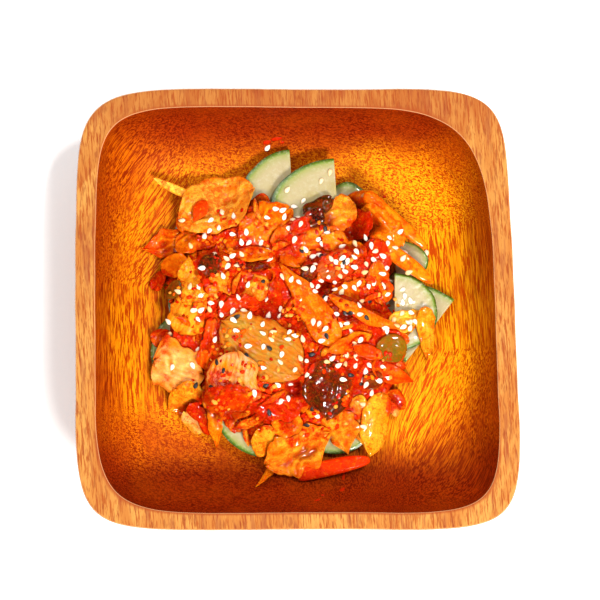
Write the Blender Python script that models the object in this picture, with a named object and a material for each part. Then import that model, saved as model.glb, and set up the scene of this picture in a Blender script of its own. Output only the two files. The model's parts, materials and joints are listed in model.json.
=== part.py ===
"""Kimchi heaped on a bed of cucumber slices in a square wooden bowl.

Frame: +X to the right, +Y away from the viewer, +Z up. The origin is on the
table, under the middle of the bowl. Sizes are written in millimetres and
scaled to metres by MM.
"""

import math

import bmesh
import bpy
from mathutils import Matrix, Vector, noise
from mathutils.bvhtree import BVHTree

MM = 0.001
GAP = 0.35  # clearance between solids that touch

# Bowl: a carved block with a flat rim and four rounded corners.
RIM_HALF = 90.0
BOWL_HEIGHT = 50.0
RIM_WIDTH = 8.2
RIM_BEVEL = 0.8
FLOOR_Z = 11.0
FLOOR_HALF = 50.0
FOOT_HALF = 58.0
FOOT_BEVEL = 1.5
INSIDE_BEND = 2.3  # cross-section of a wall: 2 is a quarter ellipse, more is squarer
OUTSIDE_BEND = 1.8
OUTER_CORNERS = (8.2, 7.0, 7.8, 8.0)  # squareness by quadrant, from +X+Y anticlockwise
INNER_CORNERS = (4.5, 7.0, 6.4, 7.8)
FLOOR_CORNERS = (3.2, 3.6, 3.4, 3.8)
FOOT_CORNERS = (5.0, 5.0, 5.0, 5.0)
RIGHT_LEAN = 0.034  # the right side leans out towards the viewer
LEFT_LEAN = 0.0095  # the left side leans in a little
SIDE_SHIFT = -1.1  # puts the middle of the leaning outline on the origin
RING_POINTS = 80
CORNER_CROWDING = 0.6  # gathers the points of a ring at its corners
WALL_RINGS = 8

# Heap of kimchi.
HEAP_X, HEAP_Y = -6.0, -6.0
HEAP_RADIUS = 52.5
HEAP_EDGE_RISE = 5.0
HEAP_TOP_Z = 38.5
HEAP_LOBES = ((2, 3.5, 1.75), (3, 1.8, 0.4), (5, 1.6, 2.1), (9, 1.1, 0.9))  # waves, size, phase
HEAP_LUMP = 2.0
HEAP_LUMP_LENGTH = 13.0
HEAP_SECTORS = 48
HEAP_RINGS = 11
HEAP_UNDERSIDE_RINGS = 4

# Cucumber slices: half ovals cut on the slant, the flat side cut through the middle.
SLICE_THICKNESS = 3.0
SLICE_ARC_POINTS = 16

# name: centre x, y, z, half length of the flat side, depth, direction the flat side
# faces, tilt, direction that rises
CUCUMBER = {
    "cucumber_back_left": (-2.1, 48.7, 18.8, 22.0, 22.4, 4, 4, 90),
    "cucumber_back_middle": (16.8, 46.3, 23.4, 20.0, 28.5, 4, 5, 60),
    "cucumber_back_right": (19.5, 34.5, 13.4, 13.0, 23.0, 262, 3, 82),
    "cucumber_right_slim": (42.0, 22.5, 17.6, 9.0, 14.0, 180, 2, 0),
    "cucumber_right_upper": (47.0, 8.0, 13.2, 16.0, 11.0, 330, 1, 0),
    "cucumber_right_front": (41.0, 0.1, 25.0, 16.5, 18.6, 180, 9, 180),
    "cucumber_right_outer": (56.4, -7.5, 18.2, 17.0, 25.0, 322, 4, 322),
    "cucumber_front_left": (-14.7, -41.8, 18.6, 21.0, 19.0, 69, 3, 249),
    "cucumber_front_right": (16.0, -40.8, 15.0, 19.0, 19.0, 90, 2, 270),
    "cucumber_left_back": (-36.0, 29.5, 14.2, 18.7, 18.7, 310, 2, 130),
    "cucumber_left_middle": (-37.6, 5.0, 18.4, 18.0, 18.0, 0, 3, 180),
    "cucumber_left_front": (-44.1, -16.4, 14.2, 19.0, 19.0, 40, 3, 220),
}

# Sticks: centre x, y, z, length, width, thickness, share left at the tip, heading, climb
STICKS = {
    "carrot_stick_back": (41.8, 38.9, 27.0, 36.0, 5.6, 4.2, 0.35, -42.8, -10.0),
    "carrot_stick_front": (44.4, 22.2, 27.6, 33.0, 6.6, 4.2, 0.30, -39.0, -6.0),
    "radish_stick": (-50.4, 52.4, 20.0, 26.0, 4.0, 3.2, 0.25, 152.0, 8.0),
    "carrot_slice_front": (15.0, -65.2, 20.2, 32.0, 7.0, 4.0, 0.45, 9.0, 0.0),
}

# Pieces that lie on the heap: centre x, y, least z, length, width, thickness, sunk
# depth, heading
PLATES = {
    "cabbage_stalk": (-17.8, -17.6, 0.0, 42.0, 28.0, 4.0, 2.2, -26.0),
    "cabbage_stalk_left": (-47.0, -22.0, 17.4, 19.0, 17.0, 3.4, 1.6, 12.0),
    "cabbage_leaf_back": (-34.5, 38.0, 22.6, 25.0, 20.0, 3.4, 1.7, 20.0),
    "cabbage_leaf_middle": (-24.0, 9.0, 0.0, 23.0, 15.0, 3.4, 1.7, 15.0),
    "cabbage_leaf_front": (0.0, -52.5, 22.0, 28.0, 14.0, 3.4, 1.7, 25.0),
    "cabbage_leaf_corner": (29.0, -42.0, 18.2, 22.0, 13.0, 3.4, 1.7, 70.0),
    "green_chili_slice": (37.0, -17.0, 27.0, 12.0, 11.0, 3.2, 0.9, -10.0),
    "dark_pepper_slice": (11.0, -29.0, 0.0, 19.0, 16.0, 3.4, 1.6, 40.0),
}
PLATE_SECTORS = 20
PLATE_RINGS = 3
PLATE_SQUARENESS = 2.7
SEAT_HEADROOM = 20.0  # a seat is open above, this many gaps higher than its piece

PLATE_COLOURS = {
    "cabbage": "stalk",
    "cabbage_stalk": "stalk",
    "cabbage_leaf": "leaf",
    "green_chili": "green",
    "dark_pepper": "dark",
}

COLOURS = {
    "bowl": (0.46, 0.17, 0.05),
    "kimchi": (0.80, 0.18, 0.03),
    "cucumber": (0.66, 0.72, 0.38),
    "carrot": (0.90, 0.32, 0.04),
    "radish": (0.86, 0.50, 0.14),
    "stalk": (0.80, 0.58, 0.24),
    "leaf": (0.90, 0.36, 0.05),
    "green": (0.30, 0.30, 0.04),
    "dark": (0.20, 0.03, 0.02),
}


def clear_scene():
    for obj in list(bpy.data.objects):
        bpy.data.objects.remove(obj)


def material(name, roughness):
    found = bpy.data.materials.get(name)
    if found:
        return found
    made = bpy.data.materials.new(name)
    made.use_nodes = True
    shader = made.node_tree.nodes["Principled BSDF"]
    shader.inputs["Base Color"].default_value = (*COLOURS[name], 1.0)
    shader.inputs["Roughness"].default_value = roughness
    shader.inputs["Metallic"].default_value = 0.0
    return made


def add_object(name, mesh, colour, roughness=0.35):
    """Wraps a bmesh, whose points are in millimetres, as a named object in metres."""
    bmesh.ops.triangulate(mesh, faces=mesh.faces)
    bmesh.ops.recalc_face_normals(mesh, faces=mesh.faces)
    bmesh.ops.scale(mesh, vec=(MM, MM, MM), verts=mesh.verts)
    data = bpy.data.meshes.new(name)
    mesh.to_mesh(data)
    mesh.free()
    data.shade_smooth()
    data.set_sharp_from_angle(angle=math.radians(35))
    obj = bpy.data.objects.new(name, data)
    obj.data.materials.append(material(colour, roughness))
    bpy.context.scene.collection.objects.link(obj)
    return obj


def loft(rings):
    """Closed skin through rings of equal length, with a flat cap on the first and last."""
    mesh = bmesh.new()
    loops = [[mesh.verts.new(p) for p in ring] for ring in rings]
    count = len(loops[0])
    for low, high in zip(loops, loops[1:]):
        for i in range(count):
            j = (i + 1) % count
            mesh.faces.new((low[i], low[j], high[j], high[i]))
    mesh.faces.new(loops[0])
    mesh.faces.new(loops[-1])
    return mesh


# ---------------------------------------------------------------- bowl


def square_ring(half, corners, z):
    """A rounded square: a superellipse whose exponent differs by quadrant."""
    points = []
    for i in range(RING_POINTS):
        angle = 2 * math.pi * (i + 0.5) / RING_POINTS
        angle += CORNER_CROWDING * math.sin(4 * angle) / 4
        power = corners[int(angle // (math.pi / 2))]
        c, s = math.cos(angle), math.sin(angle)
        radius = half / (abs(c) ** power + abs(s) ** power) ** (1 / power)
        x, y = radius * c, radius * s
        lean = -RIGHT_LEAN if x > 0 else LEFT_LEAN
        points.append((x * (1 + lean * y / RIM_HALF) + SIDE_SHIFT, y, z))
    return points


def mix(a, b, t):
    return tuple(p + (q - p) * t for p, q in zip(a, b))


def wall(low, high, bend):
    """Rings up a wall, which leaves low (half width, z, corners) level and reaches high upright."""
    rings = []
    for i in range(WALL_RINGS + 1):
        turn = math.pi / 2 * (1 - i / WALL_RINGS)
        across = math.cos(turn) ** (2 / bend)
        up = 1 - math.sin(turn) ** (2 / bend)
        half = low[0] + (high[0] - low[0]) * across
        z = low[1] + (high[1] - low[1]) * up
        rings.append(square_ring(half, mix(low[2], high[2], across), z))
    return rings


def make_bowl():
    mouth = RIM_HALF - RIM_WIDTH
    foot = square_ring(FOOT_HALF - FOOT_BEVEL, FOOT_CORNERS, 0.0)
    outside = wall(
        (FOOT_HALF, FOOT_BEVEL, FOOT_CORNERS),
        (RIM_HALF, BOWL_HEIGHT - RIM_BEVEL, OUTER_CORNERS),
        OUTSIDE_BEND,
    )
    rim = [
        square_ring(RIM_HALF - RIM_BEVEL, OUTER_CORNERS, BOWL_HEIGHT),
        square_ring(mouth + RIM_BEVEL / 2, INNER_CORNERS, BOWL_HEIGHT),
    ]
    inside = wall(
        (FLOOR_HALF, FLOOR_Z, FLOOR_CORNERS),
        (mouth, BOWL_HEIGHT - RIM_BEVEL / 2, INNER_CORNERS),
        INSIDE_BEND,
    )
    return add_object("bowl", loft([foot] + outside + rim + inside[::-1]), "bowl", 0.45)


def surface_under(obj):
    """A function that gives the height of obj's upper face at a point, in millimetres."""
    tree = BVHTree.FromObject(obj, bpy.context.evaluated_depsgraph_get())

    def height(x, y):
        start = Vector((x * MM, y * MM, BOWL_HEIGHT * 2 * MM))
        hit = tree.ray_cast(start, Vector((0, 0, -1)))[0]
        return hit.z / MM

    return height


# ---------------------------------------------------------------- heap


def heap_radius(angle):
    return HEAP_RADIUS + sum(a * math.cos(n * angle + p) for n, a, p in HEAP_LOBES)


def heap_top(x, y):
    """Height of the heap's upper surface, with its lumps, at any point near it."""
    dx, dy = x - HEAP_X, y - HEAP_Y
    share = min(1.0, math.hypot(dx, dy) / heap_radius(math.atan2(dy, dx)))
    edge = FLOOR_Z + HEAP_EDGE_RISE
    dome = edge + (HEAP_TOP_Z - edge) * (1 - share**2.6)
    coarse = noise.noise(Vector((x, y, 7.3)) / HEAP_LUMP_LENGTH)
    fine = noise.noise(Vector((x, y, 1.9)) / (HEAP_LUMP_LENGTH / 2))
    return dome + HEAP_LUMP * (1.6 * coarse + 0.7 * fine) * (1 - 0.5 * share)


def heap_ring(share, height):
    points = []
    for i in range(HEAP_SECTORS):
        angle = 2 * math.pi * i / HEAP_SECTORS
        radius = share * heap_radius(angle)
        x = HEAP_X + radius * math.cos(angle)
        y = HEAP_Y + radius * math.sin(angle)
        points.append((x, y, height(x, y)))
    return points


def make_heap(bowl_height):
    def underside(x, y):
        return bowl_height(x, y) + GAP

    rings = []
    for i in range(HEAP_UNDERSIDE_RINGS):
        rings.append(heap_ring(0.35 + 0.63 * i / (HEAP_UNDERSIDE_RINGS - 1), underside))
    for i in range(HEAP_RINGS):
        rings.append(heap_ring(1 - 0.96 * i / (HEAP_RINGS - 1), heap_top))
    return add_object("kimchi_heap", loft(rings), "kimchi", 0.3)


# ---------------------------------------------------------------- pieces


def tilt_matrix(tilt, rises):
    """A lean by tilt degrees, so that the side facing the direction rises comes up."""
    axis = Vector((math.sin(math.radians(rises)), -math.cos(math.radians(rises)), 0))
    return Matrix.Rotation(math.radians(tilt), 4, axis)


def slice_mesh(x, y, z, half_flat, depth, faces, tilt, rises, grow=0.0):
    """Half an oval slice. With grow, the same shape larger by that much all over."""
    outline = []
    for i in range(SLICE_ARC_POINTS + 1):
        angle = math.pi * i / SLICE_ARC_POINTS
        across = -(depth + grow) * math.sin(angle)
        if i in (0, SLICE_ARC_POINTS):
            across = grow
        outline.append(Vector((across, (half_flat + grow) * math.cos(angle), 0)))
    place = (
        Matrix.Translation((x, y, z))
        @ tilt_matrix(tilt, rises)
        @ Matrix.Rotation(math.radians(faces), 4, "Z")
    )
    half = SLICE_THICKNESS / 2 + grow
    rings = [[place @ (p + Vector((0, 0, level))) for p in outline] for level in (-half, half)]
    return loft(rings)


def stick_mesh(x, y, z, length, width, thickness, tip, heading, climb, grow=0.0):
    """A cut stick, blunt at one end and narrowing to the other, with chamfered edges."""
    place = (
        Matrix.Translation((x, y, z))
        @ Matrix.Rotation(math.radians(heading), 4, "Z")
        @ Matrix.Rotation(math.radians(-climb), 4, "Y")
    )
    rings = []
    for along, share in ((-0.5, 0.75), (-0.44, 1.0), (0.0, 1.0), (0.36, 0.8), (0.5, tip)):
        w, t = width / 2 * share + grow, thickness / 2 * share + grow
        reach = length * along + math.copysign(grow, along) if along else 0.0
        corner = 0.3
        section = []
        for sy, sz in ((1, 1), (-1, 1), (-1, -1), (1, -1)):
            ends = [(w * sy, t * sz * (1 - corner)), (w * sy * (1 - corner), t * sz)]
            if sy * sz < 0:
                ends.reverse()
            section += [place @ Vector((reach, p, q)) for p, q in ends]
        rings.append(section)
    return loft(rings)


def plate_mesh(x, y, least, length, width, thickness, sunk, heading, grow=0.0):
    """A piece that follows the top of the heap, half sunk into it, thinner at its edge."""
    turn = math.radians(heading)

    def ring(share, lift):
        points = []
        for i in range(PLATE_SECTORS):
            angle = 2 * math.pi * i / PLATE_SECTORS
            c, s = math.cos(angle), math.sin(angle)
            power = PLATE_SQUARENESS
            reach = share / (abs(c) ** power + abs(s) ** power) ** (1 / power)
            u = (length / 2 + grow) * reach * c
            v = (width / 2 + grow) * reach * s
            px = x + u * math.cos(turn) - v * math.sin(turn)
            py = y + u * math.sin(turn) + v * math.cos(turn)
            points.append((px, py, max(heap_top(px, py) - sunk, least) + lift))
        return points

    rings = []
    shares = [(i + 1) / PLATE_RINGS for i in range(PLATE_RINGS)]
    for share in shares:
        rings.append(ring(share, -grow))
    for share in reversed(shares):
        rings.append(ring(share, thickness * (1 - 0.35 * share**3) + grow * SEAT_HEADROOM))
    return loft(rings)


def cutter(name, mesh):
    obj = add_object(name, mesh, "kimchi")
    obj.hide_render = True
    obj.display_type = "WIRE"
    return obj


def make_pieces():
    """Every piece, and a slightly larger copy of each that cuts its seat in the heap."""
    kinds = (
        (CUCUMBER, slice_mesh, lambda name: "cucumber"),
        (STICKS, stick_mesh, lambda name: name.split("_")[0]),
        (PLATES, plate_mesh, lambda name: PLATE_COLOURS[name.rsplit("_", 1)[0]]),
    )
    cutters = []
    for table, shape, colour in kinds:
        for name, sizes in table.items():
            add_object(name, shape(*sizes), colour(name))
            cutters.append(cutter("seat_" + name, shape(*sizes, grow=GAP)))
    return cutters


def main():
    clear_scene()
    bowl = make_bowl()
    heap = make_heap(surface_under(bowl))
    for tool in make_pieces():
        cut = heap.modifiers.new(tool.name, "BOOLEAN")
        cut.operation = "DIFFERENCE"
        cut.object = tool


main()
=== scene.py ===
"""Kimchi in a square wooden bowl: the looks.

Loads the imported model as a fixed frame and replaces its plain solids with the
carved bowl, the cucumber bed and the loose kimchi. Lengths in this script are
in millimetres, in the frame's axes, and become metres when a mesh is made; only
the floor, the lights and the camera are given in metres.

Loose pieces are laid one after another: a height field holds the top of all
that lies in the bowl so far, each piece is draped over it, and is then added.
"""

import json
import math

import bpy
import numpy as np
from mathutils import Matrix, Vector
from mathutils.bvhtree import BVHTree

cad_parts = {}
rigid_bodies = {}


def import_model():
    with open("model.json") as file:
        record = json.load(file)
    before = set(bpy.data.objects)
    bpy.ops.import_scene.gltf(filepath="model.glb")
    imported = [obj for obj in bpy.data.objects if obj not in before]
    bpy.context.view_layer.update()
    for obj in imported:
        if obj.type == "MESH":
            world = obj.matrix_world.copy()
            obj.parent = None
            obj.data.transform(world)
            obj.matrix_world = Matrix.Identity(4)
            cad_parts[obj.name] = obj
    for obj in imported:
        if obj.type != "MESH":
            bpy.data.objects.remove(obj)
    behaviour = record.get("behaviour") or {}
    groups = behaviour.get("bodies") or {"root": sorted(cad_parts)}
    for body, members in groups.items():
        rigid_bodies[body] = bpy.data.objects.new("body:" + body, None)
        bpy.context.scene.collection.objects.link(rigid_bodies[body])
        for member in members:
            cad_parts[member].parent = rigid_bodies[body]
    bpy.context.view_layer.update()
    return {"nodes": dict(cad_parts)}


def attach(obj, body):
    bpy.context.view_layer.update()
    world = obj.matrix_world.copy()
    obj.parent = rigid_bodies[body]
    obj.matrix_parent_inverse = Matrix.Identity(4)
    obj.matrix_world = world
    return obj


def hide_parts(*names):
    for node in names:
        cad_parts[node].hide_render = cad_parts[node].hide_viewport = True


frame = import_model()

MM = 0.001
RNG = np.random.default_rng(7)
FULL_TURN = 6.28  # in radians, near enough for a random heading

# ------------------------------------------------------------------ sizes

# Bowl, as in the CAD model: half widths, heights, bends of the walls, and the powers of the
# rounded corners, from the back right round to the near right.
RIM_HALF = 90.0
RIM_WIDTH = 8.2
RIM_BEVEL = 0.8
MOUTH_BEVEL = 0.45
BOWL_HEIGHT = 50.0
FLOOR_Z = 11.0
FLOOR_HALF = 50.0
FOOT_HALF = 58.0
FOOT_BEVEL = 1.5
INSIDE_BEND = 2.3
OUTSIDE_BEND = 1.8
OUTER_CORNERS = (8.2, 7.0, 7.8, 8.0)
INNER_CORNERS = (4.5, 7.0, 6.4, 7.8)
FLOOR_CORNERS = (3.2, 3.6, 3.4, 3.8)
FOOT_CORNERS = (5.0, 5.0, 5.0, 5.0)
RIGHT_LEAN = 0.034
LEFT_LEAN = 0.0095
SIDE_SHIFT = -1.1
RING_POINTS = 360
WALL_RINGS = 46
FOOT_RINGS = 8
RIM_RINGS = 8
FLOOR_RINGS = 24

# Where the photographed bowl differs a little from the CAD square.
STRETCH = 1.007  # it is deeper along Y
STRETCH_SHIFT = 0.5  # and above the foot it lies further back
NEAR_THINNING = 1.3  # how much narrower the rim is on the near side
FAR_THINNING = 0.5  # and on the far side

# Heap.
HEAP_X, HEAP_Y = -6.0, -6.0
HEAP_RADIUS = 49.0
HEAP_TOP_Z = 27.0
HEAP_EDGE_Z = 13.0
PIECE_SHADE = 0.86  # how much of their colour's light the pieces keep
SCRAPS, THREADS, BITS, BLACK_SEEDS = 125, 26, 460, 27
GAP_FILL = 2.2  # half the width of the gaps that paste fills
SAUCE_SINK = 1.4  # how far the paste lies below the pieces beside it

# Rays that look for a surface from above start this high, in metres.
CASTING_HEIGHT = 0.2
DOWN = Vector((0, 0, -1))

# Height field: a square grid over the bowl.
CELL = 0.5
FIELD_HALF = 92.0
FIELD_SIZE = int(2 * FIELD_HALF / CELL) + 1

SPACING = 0.55  # distance between the points of a draped piece


# ------------------------------------------------------------------ meshes


def mesh_object(name, points, faces, colours, paste):
    """A mesh from points in mm, with a colour and one more number for each point."""
    data = bpy.data.meshes.new(name)
    data.vertices.add(len(points))
    data.vertices.foreach_set("co", (np.asarray(points, np.float32) * MM).ravel())
    faces = np.asarray(faces, np.int32)
    data.loops.add(faces.size)
    data.loops.foreach_set("vertex_index", faces.ravel())
    data.polygons.add(len(faces))
    data.polygons.foreach_set("loop_start", np.arange(len(faces)) * faces.shape[1])
    data.update(calc_edges=True)
    data.validate()
    data.shade_smooth()
    rgba = np.ones((len(points), 4), np.float32)
    rgba[:, :3] = colours
    layer = data.color_attributes.new("tint", "FLOAT_COLOR", "POINT")
    layer.data.foreach_set("color", rgba.ravel())
    layer = data.attributes.new("paste", "FLOAT", "POINT")
    layer.data.foreach_set("value", np.asarray(paste, np.float32))
    obj = bpy.data.objects.new(name, data)
    bpy.context.scene.collection.objects.link(obj)
    return obj


def hand_over(piece, material, slot, *replaced):
    """Gives a piece its material, hides the nodes it replaces and attaches it to the root body."""
    piece.data.materials.append(material)
    if replaced:
        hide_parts(*replaced)
    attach(piece, "root")


def stacked(x, y, z):
    """Three arrays of coordinates as one list of points."""
    return np.stack([x, y, z], -1).reshape(-1, 3)


def about_z(angle):
    """The matrix of a turn about Z."""
    c, s = math.cos(angle), math.sin(angle)
    return np.array([[c, -s, 0], [s, c, 0], [0, 0, 1]])


def grid_faces(rows, columns, closed=False):
    """Quads over a grid of rows x columns points; closed joins the last column to the first."""
    index = np.arange(rows * columns).reshape(rows, columns)
    if closed:
        index = np.hstack([index, index[:, :1]])
    return np.stack(
        [index[:-1, :-1], index[:-1, 1:], index[1:, 1:], index[1:, :-1]], axis=-1
    ).reshape(-1, 4)


def tube_faces(rows, columns):
    """Quads over a closed grid of rings, with the first and the last ring filled."""
    i = np.arange(columns // 2 - 1)
    first = np.stack([i + 1, i, columns - 1 - i, columns - 2 - i], -1)
    last = np.stack([i, i + 1, columns - 2 - i, columns - 1 - i], -1) + (rows - 1) * columns
    return np.concatenate([grid_faces(rows, columns, True), first, last])


def closed_faces(rows, columns):
    """A grid's upper and lower faces and the strip that joins them all round."""
    top = grid_faces(rows, columns)
    shift = rows * columns
    index = np.arange(shift).reshape(rows, columns)
    loop = np.concatenate([index[0, :-1], index[:-1, -1], index[-1, :0:-1], index[:0:-1, 0]])
    after = np.roll(loop, -1)
    strip = np.stack([loop, loop + shift, after + shift, after], -1)
    return np.concatenate([top, top[:, ::-1] + shift, strip])


class Batch:
    """Collects the points, faces and colours of many small pieces for one mesh."""

    def __init__(self):
        self.points, self.faces, self.colours, self.paste = [], [], [], []
        self.count = 0

    def add(self, points, faces, colours, paste=0.0):
        self.points.append(points)
        self.faces.append(np.asarray(faces) + self.count)
        self.colours.append(np.broadcast_to(colours, (len(points), 3)))
        self.paste.append(np.broadcast_to(paste, (len(points),)))
        self.count += len(points)

    def build(self, name, material, slot, *replaced):
        """Makes the one mesh and hands it over."""
        joined = [np.concatenate(part) for part in (self.points, self.faces, self.colours, self.paste)]
        hand_over(mesh_object(name, *joined), material, slot, *replaced)


# ------------------------------------------------------------------ noise


def lattice(ix, iy, seed):
    """A repeatable random value from -1 to 1 at each whole-number place, by mixing its bits."""
    n = ix.astype(np.int64) * 374761393 + iy.astype(np.int64) * 668265263 + seed * 974711
    n = (n ^ (n >> 13)) * 1274126177
    n = n ^ (n >> 16)
    return (n & 0xFFFF) / 32767.5 - 1.0


def noise2(x, y, seed=0):
    """Smooth noise from -1 to 1 with features about one unit across."""
    x, y = np.asarray(x, float), np.asarray(y, float)
    ix, iy = np.floor(x).astype(np.int64), np.floor(y).astype(np.int64)
    fx, fy = x - ix, y - iy
    sx, sy = fx * fx * (3 - 2 * fx), fy * fy * (3 - 2 * fy)
    low = lattice(ix, iy, seed) * (1 - sx) + lattice(ix + 1, iy, seed) * sx
    high = lattice(ix, iy + 1, seed) * (1 - sx) + lattice(ix + 1, iy + 1, seed) * sx
    return low * (1 - sy) + high * sy


def rough2(x, y, seed=0, octaves=3):
    """Layered noise: each layer is half the size and half the height of the last."""
    total, scale, height = 0.0, 1.0, 1.0
    for i in range(octaves):
        total = total + height * noise2(x * scale, y * scale, seed + 17 * i)
        scale, height = scale * 2.03, height * 0.5
    return total


def smoothstep(low, high, value):
    t = np.clip((value - low) / (high - low), 0, 1)
    return t * t * (3 - 2 * t)


def blend(a, b, share):
    """Colour a towards colour b, for one share or an array of shares."""
    share = np.asarray(share)[..., None]
    return np.asarray(a) * (1 - share) + np.asarray(b) * share


# ------------------------------------------------------------------ height field


class Field:
    """The top of all that lies in the bowl, on a grid."""

    def __init__(self):
        self.z = np.zeros((FIELD_SIZE, FIELD_SIZE))

    def cells(self, x, y):
        return (np.asarray(x) + FIELD_HALF) / CELL, (np.asarray(y) + FIELD_HALF) / CELL

    def sample(self, x, y, z=None):
        z = self.z if z is None else z
        i, j = self.cells(x, y)
        i = np.clip(i, 0, FIELD_SIZE - 1.001)
        j = np.clip(j, 0, FIELD_SIZE - 1.001)
        a, b = i.astype(int), j.astype(int)
        u, v = i - a, j - b
        return (
            z[a, b] * (1 - u) * (1 - v)
            + z[a + 1, b] * u * (1 - v)
            + z[a, b + 1] * (1 - u) * v
            + z[a + 1, b + 1] * u * v
        )

    def splat(self, x, y, z):
        """Raises the field to the given points and closes the small gaps between them."""
        i, j = self.cells(x, y)
        layer = np.full_like(self.z, -np.inf)
        reach = 0.35
        for di in (-reach, reach):
            for dj in (-reach, reach):
                a = np.clip(np.rint(i + di).astype(int), 0, FIELD_SIZE - 1)
                b = np.clip(np.rint(j + dj).astype(int), 0, FIELD_SIZE - 1)
                np.maximum.at(layer, (a, b), z)
        self.z = np.maximum(self.z, layer)

    def draped(self, x, y, stiffness):
        """The surface that a sheet of the given stiffness (mm) takes when laid over the field."""
        margin = int(3 * stiffness / CELL) + 3
        i, j = self.cells(x, y)
        a0, a1 = max(int(i.min()) - margin, 0), min(int(i.max()) + margin, FIELD_SIZE)
        b0, b1 = max(int(j.min()) - margin, 0), min(int(j.max()) + margin, FIELD_SIZE)
        window = widest(self.z[a0:a1, b0:b1], int(round(0.5 * stiffness / CELL)))
        window = blur(window, 0.8 * stiffness / CELL)
        full = self.z.copy()
        full[a0:a1, b0:b1] = window
        return self.sample(x, y, full)


def widest(z, radius):
    """Each cell takes the highest value within radius cells."""
    for axis in (0, 1):
        out = z.copy()
        for step in range(1, radius + 1):
            for sign in (-step, step):
                out = np.maximum(out, np.roll(z, sign, axis))
        z = out
    return z


def blur(z, sigma):
    """Softens a grid by a bell curve whose width is given in cells."""
    reach = max(int(3 * sigma), 1)
    weights = np.exp(-0.5 * (np.arange(-reach, reach + 1) / sigma) ** 2)
    weights /= weights.sum()
    for axis in (0, 1):
        padded = np.pad(z, [(reach, reach) if k == axis else (0, 0) for k in (0, 1)], "edge")
        out = np.zeros_like(z)
        for k, weight in enumerate(weights):
            out += weight * np.take(padded, range(k, k + z.shape[axis]), axis)
        z = out
    return z


# ------------------------------------------------------------------ materials


class Nodes:
    """Short calls for building one material's node tree."""

    def __init__(self, name):
        self.material = bpy.data.materials.new(name)
        self.material.use_nodes = True
        self.tree = self.material.node_tree
        self.shader = self.tree.nodes["Principled BSDF"]

    def put(self, socket, value):
        if isinstance(value, bpy.types.NodeSocket):
            self.tree.links.new(value, socket)
        else:
            socket.default_value = value

    def set(self, **values):
        for key, value in values.items():
            title = key.replace("_", " ").title().replace("Ior", "IOR")
            self.put(self.shader.inputs[title], value)

    def add(self, kind, inputs, output=0, **options):
        """A new node with its options and inputs set; gives one of its outputs."""
        node = self.tree.nodes.new("ShaderNode" + kind)
        for key, value in options.items():
            setattr(node, key, value)
        for key, value in inputs.items():
            self.put(node.inputs[key], value)
        return node.outputs[output]

    def place(self, scale=1.0, turn=(0, 0, 0), sway=None):
        """Positions in mm, moved along X by sway, turned (degrees) and scaled."""
        spot = self.add("TexCoord", {}, "Object")
        if sway is not None:
            aside = self.add("CombineXYZ", {"X": self.math("MULTIPLY", sway, MM)})
            spot = self.add("VectorMath", {0: spot, 1: aside})
        spot = self.add("Mapping", {"Vector": spot, "Rotation": [math.radians(a) for a in turn]})
        scale = scale if isinstance(scale, tuple) else (scale, scale, scale)
        return self.add("Mapping", {"Vector": spot, "Scale": [s / MM for s in scale]})

    def noise(self, vector, detail=3.0, roughness=0.55, distortion=0.0):
        inputs = {"Vector": vector, "Scale": 1.0, "Detail": detail, "Roughness": roughness}
        return self.add("TexNoise", {**inputs, "Distortion": distortion}, "Fac")

    def math(self, operation, a, b=0.0):
        return self.add("Math", {0: a, 1: b}, operation=operation)

    def range(self, value, low, high, out_low=0.0, out_high=1.0):
        """Goes smoothly from out_low to out_high while the value goes from low to high."""
        inputs = {"Value": value, "From Min": low, "From Max": high, "To Min": out_low, "To Max": out_high}
        return self.add("MapRange", inputs, "Result", interpolation_type="SMOOTHSTEP")

    def mix(self, factor, a, b):
        """A colour between a and b."""
        a, b = ((*colour, 1.0) if isinstance(colour, tuple) else colour for colour in (a, b))
        return self.add("Mix", {0: factor, 6: a, 7: b}, 2, data_type="RGBA")

    def blend(self, share, a, b):
        """A number between a and b."""
        return self.add("Mix", {0: share, 2: a, 3: b})

    def attribute(self, name, output):
        return self.add("Attribute", {}, output, attribute_name=name)

    def split(self, vector):
        node = self.tree.nodes.new("ShaderNodeSeparateXYZ")
        self.put(node.inputs[0], vector)
        return node.outputs

    def bump(self, height, distance, strength=1.0, under=None):
        inputs = {"Strength": strength, "Distance": distance * MM, "Height": height}
        if under is not None:
            inputs["Normal"] = under
        return self.add("Bump", inputs, "Normal")


# Wood, in linear light: the dark and the light of each zone, then single colours. The gold zone and its
# bands are a painted sheen of lamp light on the floor.
PAINTED_SHEEN_WOOD = (0.43, 0.045, 0.0), (0.87, 0.365, 0.003)
PLAIN_WOOD = (0.22, 0.016, 0.0), (0.62, 0.130, 0.001)
DARK_WOOD = (0.135, 0.006, 0.0), (0.34, 0.030, 0.001)
RIM_WOOD = (0.51, 0.235, 0.052), (0.41, 0.150, 0.030)
PAINTED_SHEEN_BAND = (0.66, 0.17, 0.001)
PLAIN_BAND = (0.40, 0.052, 0.001)
CLOUD = (0.44, 0.06, 0.001)
PORE = (0.18, 0.015, 0.001)
RIM_FIBRE = (0.29, 0.064, 0.012)
RIM_STREAK = (0.22, 0.045, 0.020)
RIM_PORE = (0.18, 0.03, 0.012)
RIM_SHADE = (0.27, 0.052, 0.012)
# Painted highlight along the rim's rounded edges.
PAINTED_EDGE_HIGHLIGHT = (0.74, 0.42, 0.19)


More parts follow.
